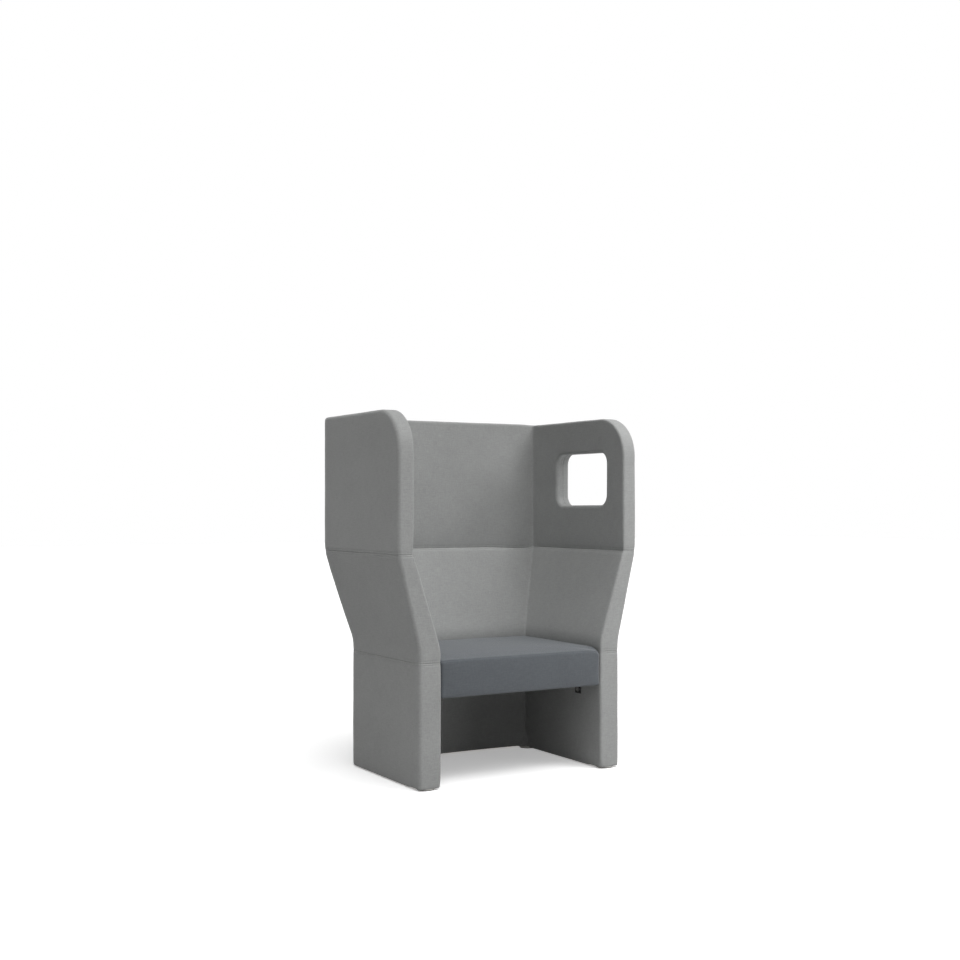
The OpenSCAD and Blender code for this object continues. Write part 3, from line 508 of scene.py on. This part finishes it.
# How far a band swells between its seams
SWELL_OUT, SWELL_IN = 0.0006, 0.0018
SHELL_WAVES = ((7.0, 0.0009, 3.1), (19.0, 0.0004, 8.7))
# How far the upper seam dips beside the inner corners, and how far the back's top rises in its middle, with
# the widths over which they start and end
SEAM_SAG, SAG_REACH = 0.006, 0.09
SAG_START, SAG_END = (0.24, 0.40), (0.425, 0.46)
TOP_RISE, TOP_RISE_Z, TOP_RISE_END = 0.004, 1.28, (0.40, 0.50)


def seam_press(tier):
    """How deep each point of a band lies under the plain form: seams, stitch rows and soft swell."""
    a, top = TIERS[tier]
    seams = [z for z in (LOW_SEAM, TOP_SEAM) if z in (a, top)]

    def depth(p, n):
        e = 0.0
        k = inner_share(p)
        corner = max(inner_x(p.z) - abs(p.x), inner_y(p.z) - (p.y - Y0))
        free = mix(1.0, smooth(*HOLD_ZONE, corner), k)
        for z in seams:
            d = abs(p.z - z)
            above = p.z > z
            groove = roll(d, SEAM_R) * mix(SEAM_OUT, SEAM_IN, k) + DIP * math.exp(-d / DIP_REACH)
            e += groove * mix(HELD_SEAM, 1.0, free)
            if z == TOP_SEAM:
                rear = smooth(*DRAW_ZONE, inner_x(p.z) - abs(p.x)) if above else 0.0
                fade = mix(REACH, REACH_BACK, rear) if above else REACH_UNDER
                e += mix(DRAW, DRAW_BACK, rear) * k * free * math.exp(-d / fade)
            e += (STITCH_ABOVE if above else STITCH_UNDER) * math.exp(-((d - STITCH_AT) / STITCH_W) ** 2)
        if tier == "lower" and abs(n.z) < 0.9:
            back = p.y - Y0 > joint_y(p.z) + PAST_JOINT and abs(p.x) < BACK_HEM_X
            e += roll(p.z - GAP, BACK_HEM_R if back else HEM_R)
        d = abs(p.y - Y0 - joint_y(p.z))
        e += JOINT_DIP * k * math.exp(-(d / JOINT_W) ** 2)
        v = (p.z - a) / (top - a)
        e -= mix(SWELL_OUT, SWELL_IN, k) * (1 - (2 * v - 1) ** 4)
        e += wander(p, SHELL_WAVES)
        return e

    return depth


def settle(obj, tier):
    """Lets the foot of the shell hang lower behind the front glides, and the upper seam dip in the corners."""
    for v in obj.data.vertices:
        p = v.co
        x, y = abs(p.x), p.y - Y0
        if tier == "lower":
            share = mix(FRONT_SHARE, 1.0, smooth(*DROP_Y, y))
            if y > joint_y(p.z) + PAST_JOINT:
                share = smooth(*(DROP_X_IN if on_inner_side(p) else DROP_X_OUT), x)
            p.z -= HEM_DROP * share * (1 - smooth(GAP, GAP + HEM_REACH, p.z))
        else:
            near_seam = 1 - smooth(0.0, SAG_REACH, abs(p.z - TOP_SEAM))
            if near_seam and y > joint_y(p.z) and on_inner_side(p):
                p.z -= SEAM_SAG * near_seam * smooth(*SAG_START, x) * (1 - smooth(*SAG_END, x))
        if tier == "upper" and y > joint_y(p.z) + PAST_JOINT:
            p.z += TOP_RISE * smooth(TOP_RISE_Z, CHAIR_H, p.z) * (1 - smooth(*TOP_RISE_END, x))


def wing_cover(side, tier):
    """One band of a wing's cover."""
    name = f"{'right' if side > 0 else 'left'}_wing_{tier}_upholstery"
    window = side > 0 and tier == "upper"
    b = Builder()
    wing_strip(b, side, tier)
    wing_face(b, side, tier, True, window)
    wing_face(b, side, tier, False, window)
    if window:
        window_strip(b, side)
    obj = b.build(name, Vector((side, 0, 0)))
    press(obj, seam_press(tier))
    settle(obj, tier)
    return obj


# Back

BOW_STEPS, CORNER_STEPS, RETURN_STEPS, TOP_STEPS = 26, 12, 3, 6
# Distances from the joint at which points lie along the return, for a return of this length outside and inside
RETURN_FINE = (0.009, 0.0055, 0.0035, 0.0024, 0.0016, 0.001, 0.0005, 0)
RETURN_OUT, RETURN_IN = 0.04, 0.02


def plan(out, e, z, t):
    """A point along the back's plan, inset by e: t runs from -1 at the left joint to 1 at the right one."""
    side = 1 if t >= 0 else -1
    t = abs(t)
    r = CORNER_R if out else inner_r(z)
    cx = (half_w(z) if out else inner_x(z)) - r
    cy = (rear_y(z) if out else inner_y(z)) - r
    rr = r - e if out else r + e
    wide = cx / math.sin(LEAN) + rr
    turn = math.pi / 2 - LEAN
    # Lengths of the three stretches at inset 0: half the bow, the corner and the return. Each is a third of t.
    l1, l2, l3 = (cx / math.sin(LEAN) + r) * LEAN, r * turn, cy - joint_y(z)
    part, k = min(int(t * 3), 2), t * 3
    k -= part
    if part == 0:
        a = math.pi / 2 - LEAN * k
        x, y = wide * math.cos(a), cy - cx / math.tan(LEAN) + wide * math.sin(a)
        s = l1 * k
    elif part == 1:
        a = turn * (1 - k)
        x, y = cx + rr * math.cos(a), cy + rr * math.sin(a)
        s = l1 + l2 * k
    else:
        x, y = cx + rr, cy - l3 * k
        s = l1 + l2 + l3 * k
    return side * x, y, side * s


def plan_range(out):
    """Shares along the back's plan, as many outside as inside, fine at the corners and at the joints."""
    half = [i / BOW_STEPS / 3 for i in range(BOW_STEPS)]
    half += [(1 + i / CORNER_STEPS) / 3 for i in range(CORNER_STEPS)]
    fine = [1 - d / (RETURN_OUT if out else RETURN_IN) for d in RETURN_FINE]
    half += [(2 + mix(0, fine[0], i / RETURN_STEPS)) / 3 for i in range(RETURN_STEPS)]
    half += [(2 + f) / 3 for f in fine]
    return [-t for t in reversed(half[1:])] + half


def back_cover(tier):
    """One band of the back's cover: its outside, its inside, and at the top the strip between them."""
    a, top = TIERS[tier]
    b = Builder()
    low = HEM_ROWS if tier == "lower" else SEAM_ROWS
    for out in (True, False):
        r = EDGE_R if out else INNER_EDGE_R
        ts = plan_range(out)
        if tier == "upper":
            zs = spread(a, top - r, low, (0, 0.004), BEND_ROWS)
        else:
            zs = spread(a, top, low, SEAM_ROWS, BEND_ROWS)
        places = [(z, 0.0, z) for z in zs]
        if tier == "upper":
            turns = [math.pi / 2 * i / ROLL_STEPS for i in range(1, ROLL_STEPS + 1)]
            places += [(top - r + r * math.sin(q), r * (1 - math.cos(q)), top - r + r * q) for q in turns]
        rows, uv_rows = [], []
        for z, e, v in places:
            line = [plan(out, e, min(z, CHAIR_H - r), t) for t in ts]
            rows.append([Vector((x, Y0 + y, z)) for x, y, _ in line])
            uv_rows.append([(s, v) for _, _, s in line])
        b.grid(rows, uv_rows, flip=out)
    if tier == "upper":
        outs = [plan(True, EDGE_R, top - EDGE_R, t) for t in plan_range(True)]
        ins = [plan(False, INNER_EDGE_R, top - INNER_EDGE_R, t) for t in plan_range(False)]
        rows, uv_rows = [], []
        for k in range(TOP_STEPS + 1):
            f = k / TOP_STEPS
            rows.append([Vector((mix(o[0], i[0], f), Y0 + mix(o[1], i[1], f), top)) for o, i in zip(outs, ins)])
            uv_rows.append([(o[2], top + f * TOP_T) for o in outs])
        b.grid(rows, uv_rows, flip=True)
    obj = b.build(f"back_{tier}_upholstery")
    press(obj, seam_press(tier))
    settle(obj, tier)
    return obj


# Seat

SEAT_SWELL = 0.005
SEAT_CORNER_R, SEAT_REAR_R, SEAT_REAR_GAP = 0.013, 0.0116, 0.012
LOW_EDGE_R, TOP_EDGE_R = 0.007, 0.009
# The top rises by RISE behind the front edge. Its front corners fall by these amounts, left and right.
RISE, RISE_REACH = 0.010, 0.09
FALL_LEFT, FALL_RIGHT, FALL_REACH, FALL_POWER = 0.007, 0.021, 0.055, 22
RIM_DROP, RIM_REACH = 0.004, 0.035
SIDE_BOW = 0.0012
SEAT_WAVES = ((9.0, 0.0006, 21.0), (30.0, 0.0003, 5.0))
# The front swells too, over this depth and up to this distance from its corners
FRONT_DEPTH, FRONT_MARGIN = 0.004, 0.02
# Numbers of points round the plan
FRONT_CORNER_N, FRONT_N, SIDE_N, REAR_CORNER_N, REAR_N = 7, 60, 46, 6, 52
LEAST_REAR_R = 0.003
# Rows of points, from the underside up. The hem shows round the dust cloth and runs on above it.
UNDER_LIFT, HEM_LIFT = 0.0028, -0.0004
UNDER = ((0.060, UNDER_LIFT), (0.040, UNDER_LIFT), (0.028, HEM_LIFT), (0.009, HEM_LIFT))
LOW_TURNS = (0, 22, 45, 67, 90)
SIDE_SHARES = (0.06, 0.14, 0.24, 0.35, 0.46, 0.57, 0.68, 0.78, 0.87, 0.94, 1.0)
# The upper edge turns, with the depth of its seam
TOP_TURNS = ((16, 0), (30, -0.0002), (37, 0.0002), (42, 0.0012), (47, 0.0002), (53, -0.0006), (60, -0.0006),
             (67, -0.0001), (78, 0), (90, 0))
TOP_SHARES = (0.012, 0.028, 0.048, 0.072, 0.10, 0.135, 0.175, 0.22, 0.27, 0.33, 0.4, 0.47, 0.55, 0.64, 0.73,
              0.82, 0.91)
HELD, SIDE, TOP = range(3)


def seat_top(x, y):
    """The seat's upper side as it is cut, before it swells."""
    u = min(abs(x) / SEAT_HALF_W, 1)
    rise = 1 - max(1 - y / RISE_REACH, 0) ** 2
    corner = max(1 - y / FALL_REACH, 0) ** 2
    fall = FALL_RIGHT if x > 0 else FALL_LEFT
    return SEAT_SEAM + RISE * rise - fall * corner * u ** FALL_POWER


def seat_plan(e):
    """Points round the seat from the front left corner, anticlockwise from above, inset by e."""
    w, r = SEAT_HALF_W - e, SEAT_CORNER_R
    pts = []

    def arc(cx, cy, rr, a0, a1, n):
        for i in range(n):
            t = mix(a0, a1, i / n)
            pts.append((cx + rr * math.cos(t), cy + rr * math.sin(t)))

    def line(p, q, n):
        pts.extend((mix(p[0], q[0], i / n), mix(p[1], q[1], i / n)) for i in range(n))

    # The rear follows the inner plan of the shell, drawn in by the gap
    rr = max(SEAT_REAR_R - e, LEAST_REAR_R)
    ex, cy = w - rr, inner_y(SEAT_LOW) - SEAT_REAR_GAP
    turn = math.pi / 2 - LEAN
    wide = ex / math.sin(LEAN) + rr
    arc(-w + r, e + r, r, math.pi, 1.5 * math.pi, FRONT_CORNER_N)
    line((-w + r, e), (w - r, e), FRONT_N)
    arc(w - r, e + r, r, 1.5 * math.pi, 2 * math.pi, FRONT_CORNER_N)
    line((w, e + r), (w, cy), SIDE_N)
    arc(ex, cy, rr, 0, turn, REAR_CORNER_N)
    arc(0, cy - ex / math.tan(LEAN), wide, turn, turn + 2 * LEAN, REAR_N)
    arc(-ex, cy, rr, math.pi - turn, math.pi, REAR_CORNER_N)
    line((-w, cy), (-w, e + r), SIDE_N)
    return pts


def front_rim(y):
    """The front edge hangs a little lower than the rest of the underside."""
    return SEAT_LOW - RIM_DROP * (1 - smooth(0.0, RIM_REACH, y))


def seat_rows():
    """Rings of points from the underside to near the middle of the top, each with its kind and its depth."""
    rows = []
    for e, lift in UNDER:
        rows.append(([(x, y, front_rim(y) + lift) for x, y in seat_plan(e)], HELD, 0.0))
    for q in LOW_TURNS:
        t = math.radians(q)
        rows.append(([(x, y, front_rim(y) + LOW_EDGE_R * (1 - math.cos(t)))
                      for x, y in seat_plan(LOW_EDGE_R * (1 - math.sin(t)))], HELD, 0.0))
    for k in SIDE_SHARES:
        rows.append(([(x, y, mix(front_rim(y) + LOW_EDGE_R, seat_top(x, y) - TOP_EDGE_R, k))
                      for x, y in seat_plan(SIDE_BOW * math.sin(math.pi * k))], SIDE, 0.0))
    for q, dip in TOP_TURNS:
        t = math.radians(q)
        rows.append(([(x, y, seat_top(x, y) - TOP_EDGE_R * (1 - math.sin(t)))
                      for x, y in seat_plan(TOP_EDGE_R * (1 - math.cos(t)))], HELD, dip))
    for k in TOP_SHARES:
        ring = [(x * (1 - k), mix(y, SEAT_BACK / 2, k)) for x, y in seat_plan(TOP_EDGE_R)]
        rows.append(([(x, y, seat_top(x, y)) for x, y in ring], TOP, 0.0))
    return rows


def seat_faces(n, rows):
    """Quads between the rings, and fans round the middle points of the top and the underside."""
    faces = []
    for i in range(rows - 1):
        for j in range(n):
            faces.append((i * n + j, i * n + (j + 1) % n, (i + 1) * n + (j + 1) % n, (i + 1) * n + j))
    last = (rows - 1) * n
    faces += [(last + j, last + (j + 1) % n, rows * n) for j in range(n)]
    faces += [((j + 1) % n, j, rows * n + 1) for j in range(n)]
    return faces


CLOTH = {"quality": 5, "mass": 0.3, "tension_stiffness": 15, "compression_stiffness": 15, "shear_stiffness": 5,
         "bending_stiffness": 0.5, "vertex_group_mass": "held", "use_pressure": True}


def swell(obj, free, pressure, frames, cap):
    """Blows the form up as cloth held at its seams. No point ends farther than cap from its start."""
    scene = bpy.context.scene
    start = [v.co.copy() for v in obj.data.vertices]
    held = obj.vertex_groups.new(name="held")
    held.add([i for i, f in enumerate(free) if not f], 1.0, "REPLACE")
    cloth = obj.modifiers.new("swell", "CLOTH")
    for key, value in CLOTH.items():
        setattr(cloth.settings, key, value)
    cloth.settings.uniform_pressure_force = pressure
    cloth.settings.effector_weights.gravity = 0
    cloth.collision_settings.use_collision = False
    cloth.collision_settings.use_self_collision = False
    cloth.point_cache.frame_start = 1
    cloth.point_cache.frame_end = frames
    for f in range(1, frames + 1):
        scene.frame_set(f)
    posed = obj.evaluated_get(bpy.context.evaluated_depsgraph_get())
    ends = [v.co.copy() for v in posed.data.vertices]
    obj.modifiers.remove(cloth)
    obj.vertex_groups.remove(held)
    scene.frame_set(1)
    far = 0.0
    for v, p, q in zip(obj.data.vertices, start, ends):
        move = q - p
        far = max(far, move.length)
        if move.length > 1e-7:
            v.co = p + move * (cap * math.tanh(move.length / cap) / move.length)
    obj.data.update()
    return far


def seat_cushion():
    """The seat: a flat-topped form swells between its seams as cloth, then its seam is pressed in."""
    rows = seat_rows()
    n = len(rows[0][0])
    verts = [Vector((x, Y0 + y, z)) for ring, _, _ in rows for x, y, z in ring]
    mid = SEAT_BACK / 2
    verts += [Vector((0, Y0 + mid, seat_top(0, mid))), Vector((0, Y0 + mid, SEAT_LOW + UNDER_LIFT))]
    obj = make_object("seat_upholstery", verts, seat_faces(n, len(rows)))
    free = []
    for ring, kind, _ in rows:
        for x, y, _ in ring:
            front = y < FRONT_DEPTH and abs(x) < SEAT_HALF_W - FRONT_MARGIN
            free.append(kind == TOP or (kind == SIDE and front))
    free += [True, False]
    far = swell(obj, free, pressure=4.0, frames=20, cap=SEAT_SWELL)
    print("seat: the farthest point swelled by", round(far * 1000, 1), "mm before its cap")
    bm = bmesh.new()
    bm.from_mesh(obj.data)
    bm.verts.ensure_lookup_table()
    bm.normal_update()
    normals = [v.normal.copy() for v in bm.verts]
    for k, (ring, _, dip) in enumerate(rows):
        for j in range(n):
            v = bm.verts[k * n + j]
            v.co -= normals[k * n + j] * (dip + wander(v.co, SEAT_WAVES))
    bm.to_mesh(obj.data)
    bm.free()
    obj.data.update()
    return obj


# Materials

def nodes_of(name):
    """A new material with only a Principled shader."""
    mat = bpy.data.materials.new(name)
    mat.use_nodes = True
    nt = mat.node_tree
    nt.nodes.clear()
    out = nt.nodes.new("ShaderNodeOutputMaterial")
    bsdf = nt.nodes.new("ShaderNodeBsdfPrincipled")
    nt.links.new(bsdf.outputs["BSDF"], out.inputs["Surface"])
    return mat, nt, bsdf


def math_node(nt, op, a, b=None, c=None):
    """The output of a Math node; numbers go on its sockets, other values are linked."""
    n = nt.nodes.new("ShaderNodeMath")
    n.operation = op
    for i, v in enumerate((a, b, c)):
        if v is None:
            continue
        if isinstance(v, (int, float)):
            n.inputs[i].default_value = v
        else:
            nt.links.new(v, n.inputs[i])
    return n.outputs[0]


def noise_node(nt, vec, scale, detail=3.0, rough=0.55):
    n = nt.nodes.new("ShaderNodeTexNoise")
    n.inputs["Scale"].default_value = scale
    n.inputs["Detail"].default_value = detail
    n.inputs["Roughness"].default_value = rough
    nt.links.new(vec, n.inputs["Vector"])
    return n.outputs["Fac"]


def ramp_node(nt, fac, stops):
    n = nt.nodes.new("ShaderNodeValToRGB")
    el = n.color_ramp.elements
    el[0].position, el[0].color = stops[0][0], (*stops[0][1], 1)
    el[1].position, el[1].color = stops[-1][0], (*stops[-1][1], 1)
    for p, c in stops[1:-1]:
        x = el.new(p)
        x.color = (*c, 1)
    nt.links.new(fac, n.inputs["Fac"])
    return n.outputs["Color"]


# The melange's noises: scale, detail and share. The slubs: scales and share, for each way of the cloth.
FIBRE_SCALE, FIBRE_SHARE = 900.0, 0.25
MELANGE = ((160.0, 3.0, 0.20), (9.0, 2.0, 0.10))
SLUBS = (((30, 330, 330), 0.25), ((330, 30, 30), 0.20))


def fabric(name, colour, pitch=0.0011, spread_by=0.15, sheen=0.25, bump=0.35, uv=True):
    """A plain weave of threads, in real size, with a melange of lighter and darker fibres."""
    mat, nt, bsdf = nodes_of(name)
    tc = nt.nodes.new("ShaderNodeTexCoord")
    place = tc.outputs["Object"]
    cloth_place = tc.outputs["UV"] if uv else place
    sep = nt.nodes.new("ShaderNodeSeparateXYZ")
    nt.links.new(cloth_place, sep.inputs[0])
    u = sep.outputs[0]
    v = sep.outputs[1] if uv else math_node(nt, "ADD", sep.outputs[1], sep.outputs[2])
    # Threads go over and under each other
    su, sv = (math_node(nt, "SINE", math_node(nt, "MULTIPLY", c, math.pi / pitch)) for c in (u, v))
    over = math_node(nt, "MULTIPLY_ADD", math_node(nt, "MULTIPLY", su, sv), 0.5, 0.5)
    warp = math_node(nt, "MULTIPLY", math_node(nt, "ABSOLUTE", su), over)
    weft = math_node(nt, "MULTIPLY", math_node(nt, "ABSOLUTE", sv), math_node(nt, "SUBTRACT", 1.0, over))
    weave = math_node(nt, "MAXIMUM", warp, weft)
    fine = noise_node(nt, place, FIBRE_SCALE, 2.0)
    tone = math_node(nt, "MULTIPLY", fine, FIBRE_SHARE)
    for scale, detail, share in MELANGE:
        tone = math_node(nt, "MULTIPLY_ADD", noise_node(nt, place, scale, detail), share, tone)
    for scale, share in SLUBS:
        mp = nt.nodes.new("ShaderNodeMapping")
        mp.inputs["Scale"].default_value = scale
        nt.links.new(cloth_place, mp.inputs["Vector"])
        tone = math_node(nt, "MULTIPLY_ADD", noise_node(nt, mp.outputs["Vector"], 1.0, 2.0, 0.6), share, tone)
    dark = tuple(c * (1 - spread_by) for c in colour)
    pale = tuple(min(c * (1 + spread_by), 1) for c in colour)
    col = ramp_node(nt, tone, [(0.38, dark), (0.50, colour), (0.62, pale)])
    # Painted shade: the weave darkens the colour by up to about a ninth where the threads dip at their edges
    # and between them
    mixer = nt.nodes.new("ShaderNodeMix")
    mixer.data_type = "RGBA"
    mixer.blend_type = "MULTIPLY"
    mixer.inputs["Factor"].default_value = 0.25
    nt.links.new(col, mixer.inputs["A"])
    thread_gap_shade = ramp_node(nt, weave, [(0.0, (0.55, 0.55, 0.55)), (0.8, (1, 1, 1))])
    nt.links.new(thread_gap_shade, mixer.inputs["B"])
    nt.links.new(mixer.outputs["Result"], bsdf.inputs["Base Color"])
    bsdf.inputs["Roughness"].default_value = 0.92
    bsdf.inputs["Specular IOR Level"].default_value = 0.18
    bsdf.inputs["Sheen Weight"].default_value = sheen
    bsdf.inputs["Sheen Roughness"].default_value = 0.5
    height = math_node(nt, "ADD", math_node(nt, "MULTIPLY", weave, 0.6), math_node(nt, "MULTIPLY", fine, 0.4))
    bp = nt.nodes.new("ShaderNodeBump")
    bp.inputs["Strength"].default_value = bump
    bp.inputs["Distance"].default_value = 0.0004
    nt.links.new(height, bp.inputs["Height"])
    nt.links.new(bp.outputs["Normal"], bsdf.inputs["Normal"])
    return mat


def plain(name, colour, rough=0.5, metal=0.0, scale=60.0, spread_by=0.12, bump=0.1, depth=0.0003,
          stretch=(1, 1, 1)):
    """A material whose tone, roughness and relief vary a little with one noise."""
    mat, nt, bsdf = nodes_of(name)
    tc = nt.nodes.new("ShaderNodeTexCoord")
    mp = nt.nodes.new("ShaderNodeMapping")
    mp.inputs["Scale"].default_value = stretch
    nt.links.new(tc.outputs["Object"], mp.inputs["Vector"])
    f = noise_node(nt, mp.outputs["Vector"], scale, 4.0)
    dark = tuple(c * (1 - spread_by) for c in colour)
    pale = tuple(min(c * (1 + spread_by), 1) for c in colour)
    nt.links.new(ramp_node(nt, f, [(0.3, dark), (0.7, pale)]), bsdf.inputs["Base Color"])
    rr = ramp_node(nt, f, [(0.3, (rough * 0.85,) * 3), (0.7, (min(rough * 1.15, 1),) * 3)])
    nt.links.new(rr, bsdf.inputs["Roughness"])
    bsdf.inputs["Metallic"].default_value = metal
    bp = nt.nodes.new("ShaderNodeBump")
    bp.inputs["Strength"].default_value = bump
    bp.inputs["Distance"].default_value = depth
    nt.links.new(f, bp.inputs["Height"])
    nt.links.new(bp.outputs["Normal"], bsdf.inputs["Normal"])
    return mat


SHELL = (0.350, 0.355, 0.351)
SEAT = (0.112, 0.123, 0.135)
MATERIALS = {
    "shell_fabric": fabric("shell_fabric", SHELL),
    "seat_fabric": fabric("seat_fabric", SEAT, pitch=0.0012, uv=False, sheen=0.3),
    "foam": plain("foam", (0.80, 0.74, 0.55), 0.95, scale=400, bump=0.3),
    "plywood": plain("plywood", (0.52, 0.36, 0.20), 0.65, scale=18, spread_by=0.25, stretch=(1, 1, 9)),
    "timber": plain("timber", (0.50, 0.33, 0.17), 0.7, scale=14, spread_by=0.3, stretch=(7, 7, 1)),
    "webbing": plain("webbing", (0.05, 0.05, 0.045), 0.9, scale=500, bump=0.4),
    "dust_cloth": plain("dust_cloth", (0.012, 0.012, 0.012), 0.95, scale=700, bump=0.4),
    "black_steel": plain("black_steel", (0.010, 0.010, 0.010), 0.62, scale=900, bump=0.15),
    "zinc_steel": plain("zinc_steel", (0.50, 0.50, 0.49), 0.35, 1.0, scale=300, bump=0.1),
    "glide_plastic": plain("glide_plastic", (0.56, 0.55, 0.52), 0.45, scale=200, bump=0.08),
    "glide_sole": plain("glide_sole", (0.018, 0.018, 0.018), 0.95, scale=900, bump=0.5)}
slot_of = {s["node"]: s["material_slot"] for s in frame["record"]["subparts"]}
for name, obj in frame["nodes"].items():
    obj.data.materials.clear()
    obj.data.materials.append(MATERIALS[slot_of[name]])


def dress(obj, slot, nodes):
    """Gives a finished cover its cloth, hangs it on the frame, and hides the parts it stands for."""
    obj.data.materials.append(MATERIALS[slot])
    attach(obj, "frame")
    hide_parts(*nodes)


for side, word in ((-1, "left"), (1, "right")):
    for tier in TIERS:
        obj = wing_cover(side, tier)
        nodes = [f"{word}_wing_cover_{tier}"]
        if tier == "upper":
            nodes += [f"{word}_wing_outer_foam", f"{word}_wing_inner_foam", f"{word}_wing_edge_foam"]
        dress(obj, "shell_fabric", nodes)
for tier in TIERS:
    obj = back_cover(tier)
    nodes = [f"back_cover_{tier}"]
    if tier == "upper":
        nodes += ["back_outer_foam", "back_inner_foam", "back_top_foam"]
    dress(obj, "shell_fabric", nodes)
dress(seat_cushion(), "seat_fabric", ["seat_cover", "seat_foam"])


# Floor, light and camera

# The floor's tone as it lights the chair and as it is seen, the glow that whitens it, and the sky's share
FLOOR_BOUNCE, FLOOR_SEEN, FLOOR_GLOW = 0.5, 1.0, 0.34
AMBIENT = 0.03
FLOOR_HALF = 30


def seen_rays(nt):
    """1 for the rays that show the surroundings themselves, 0 for those that carry their light on."""
    lp = nt.nodes.new("ShaderNodeLightPath")
    return math_node(nt, "MAXIMUM", lp.outputs["Is Camera Ray"],
                     math_node(nt, "MAXIMUM", lp.outputs["Is Glossy Ray"], lp.outputs["Is Transmission Ray"]))


def stage_material():
    """A white floor that keeps the shadow, and throws a measured share of the light back up."""
    mat = bpy.data.materials.new("floor_white")
    mat.use_nodes = True
    nt = mat.node_tree
    nt.nodes.clear()
    out = nt.nodes.new("ShaderNodeOutputMaterial")
    bounce, diff = (nt.nodes.new("ShaderNodeBsdfDiffuse") for _ in range(2))
    bounce.inputs["Color"].default_value = (FLOOR_BOUNCE, FLOOR_BOUNCE, FLOOR_BOUNCE, 1)
    diff.inputs["Color"].default_value = (FLOOR_SEEN, FLOOR_SEEN, FLOOR_SEEN, 1)
    em = nt.nodes.new("ShaderNodeEmission")
    em.inputs["Color"].default_value = (1, 1, 1, 1)
    em.inputs["Strength"].default_value = FLOOR_GLOW
    add = nt.nodes.new("ShaderNodeAddShader")
    nt.links.new(diff.outputs[0], add.inputs[0])
    nt.links.new(em.outputs[0], add.inputs[1])
    pick = nt.nodes.new("ShaderNodeMixShader")
    nt.links.new(seen_rays(nt), pick.inputs[0])
    nt.links.new(bounce.outputs[0], pick.inputs[1])
    nt.links.new(add.outputs[0], pick.inputs[2])
    nt.links.new(pick.outputs[0], out.inputs["Surface"])
    return mat


corners = [(i * FLOOR_HALF, j * FLOOR_HALF, 0) for i, j in ((-1, -1), (1, -1), (1, 1), (-1, 1))]
floor = make_object("floor", corners, [(0, 1, 2, 3)])
floor.data.materials.append(stage_material())

scene = bpy.context.scene
world = bpy.data.worlds.new("studio")
scene.world = world
world.use_nodes = True
wt = world.node_tree
wt.nodes.clear()
w_out = wt.nodes.new("ShaderNodeOutputWorld")
bg = wt.nodes.new("ShaderNodeBackground")
bg.inputs["Color"].default_value = (1, 1, 1, 1)
wt.links.new(math_node(wt, "MULTIPLY_ADD", seen_rays(wt), 1.0 - AMBIENT, AMBIENT), bg.inputs["Strength"])
wt.links.new(bg.outputs[0], w_out.inputs["Surface"])


def lamp(data, place, away):
    """Places a light so that it shines against the direction away."""
    obj = bpy.data.objects.new(data.name, data)
    scene.collection.objects.link(obj)
    obj.location = place
    obj.rotation_euler = away.to_track_quat("Z", "Y").to_euler()


def sun(name, turn, rise, share, soft):
    """Broad even light from a direction: turn in degrees from the front towards the right, and rise."""
    data = bpy.data.lights.new(name, "SUN")
    data.energy = math.pi * share
    data.angle = math.radians(soft)
    t, r = math.radians(turn), math.radians(rise)
    d = Vector((math.sin(t) * math.cos(r), -math.cos(t) * math.cos(r), math.sin(r)))
    lamp(data, d * 5, d)


def area(name, place, target, size, power):
    """A soft box at a place, turned to a target."""
    data = bpy.data.lights.new(name, "AREA")
    data.shape = "RECTANGLE"
    data.size, data.size_y = size
    data.energy = power
    lamp(data, place, Vector(place) - Vector(target))


sun("steep", 0, 76, 0.66, 45)
sun("front_left", -24, 38, 0.20, 50)
sun("rear", 165, 32, 0.15, 60)
area("key", (1.2, -1.8, 2.6), (0, 0, 0.6), (1.2, 1.2), 25)
area("low_right", (1.6, -2.2, 0.5), (0, 0, 0.4), (0.8, 0.6), 9)
area("low_left", (-2.3, -0.5, 0.3), (-0.4, 0.0, 0.3), (1.2, 0.4), 2.2)

# Fitted to the straight edges of the chair in the photo
camera = bpy.data.cameras.new("camera")
camera.sensor_width = 36
camera.lens = 48.34
camera.shift_x = -0.00115
camera.shift_y = 0.0292
cam = bpy.data.objects.new("camera", camera)
scene.collection.objects.link(cam)
cam.location = (-2.60, -4.4145, 1.012)
cam.rotation_euler = (math.radians(90), 0, math.radians(-30.8))
scene.camera = cam
scene.view_settings.view_transform = "Standard"
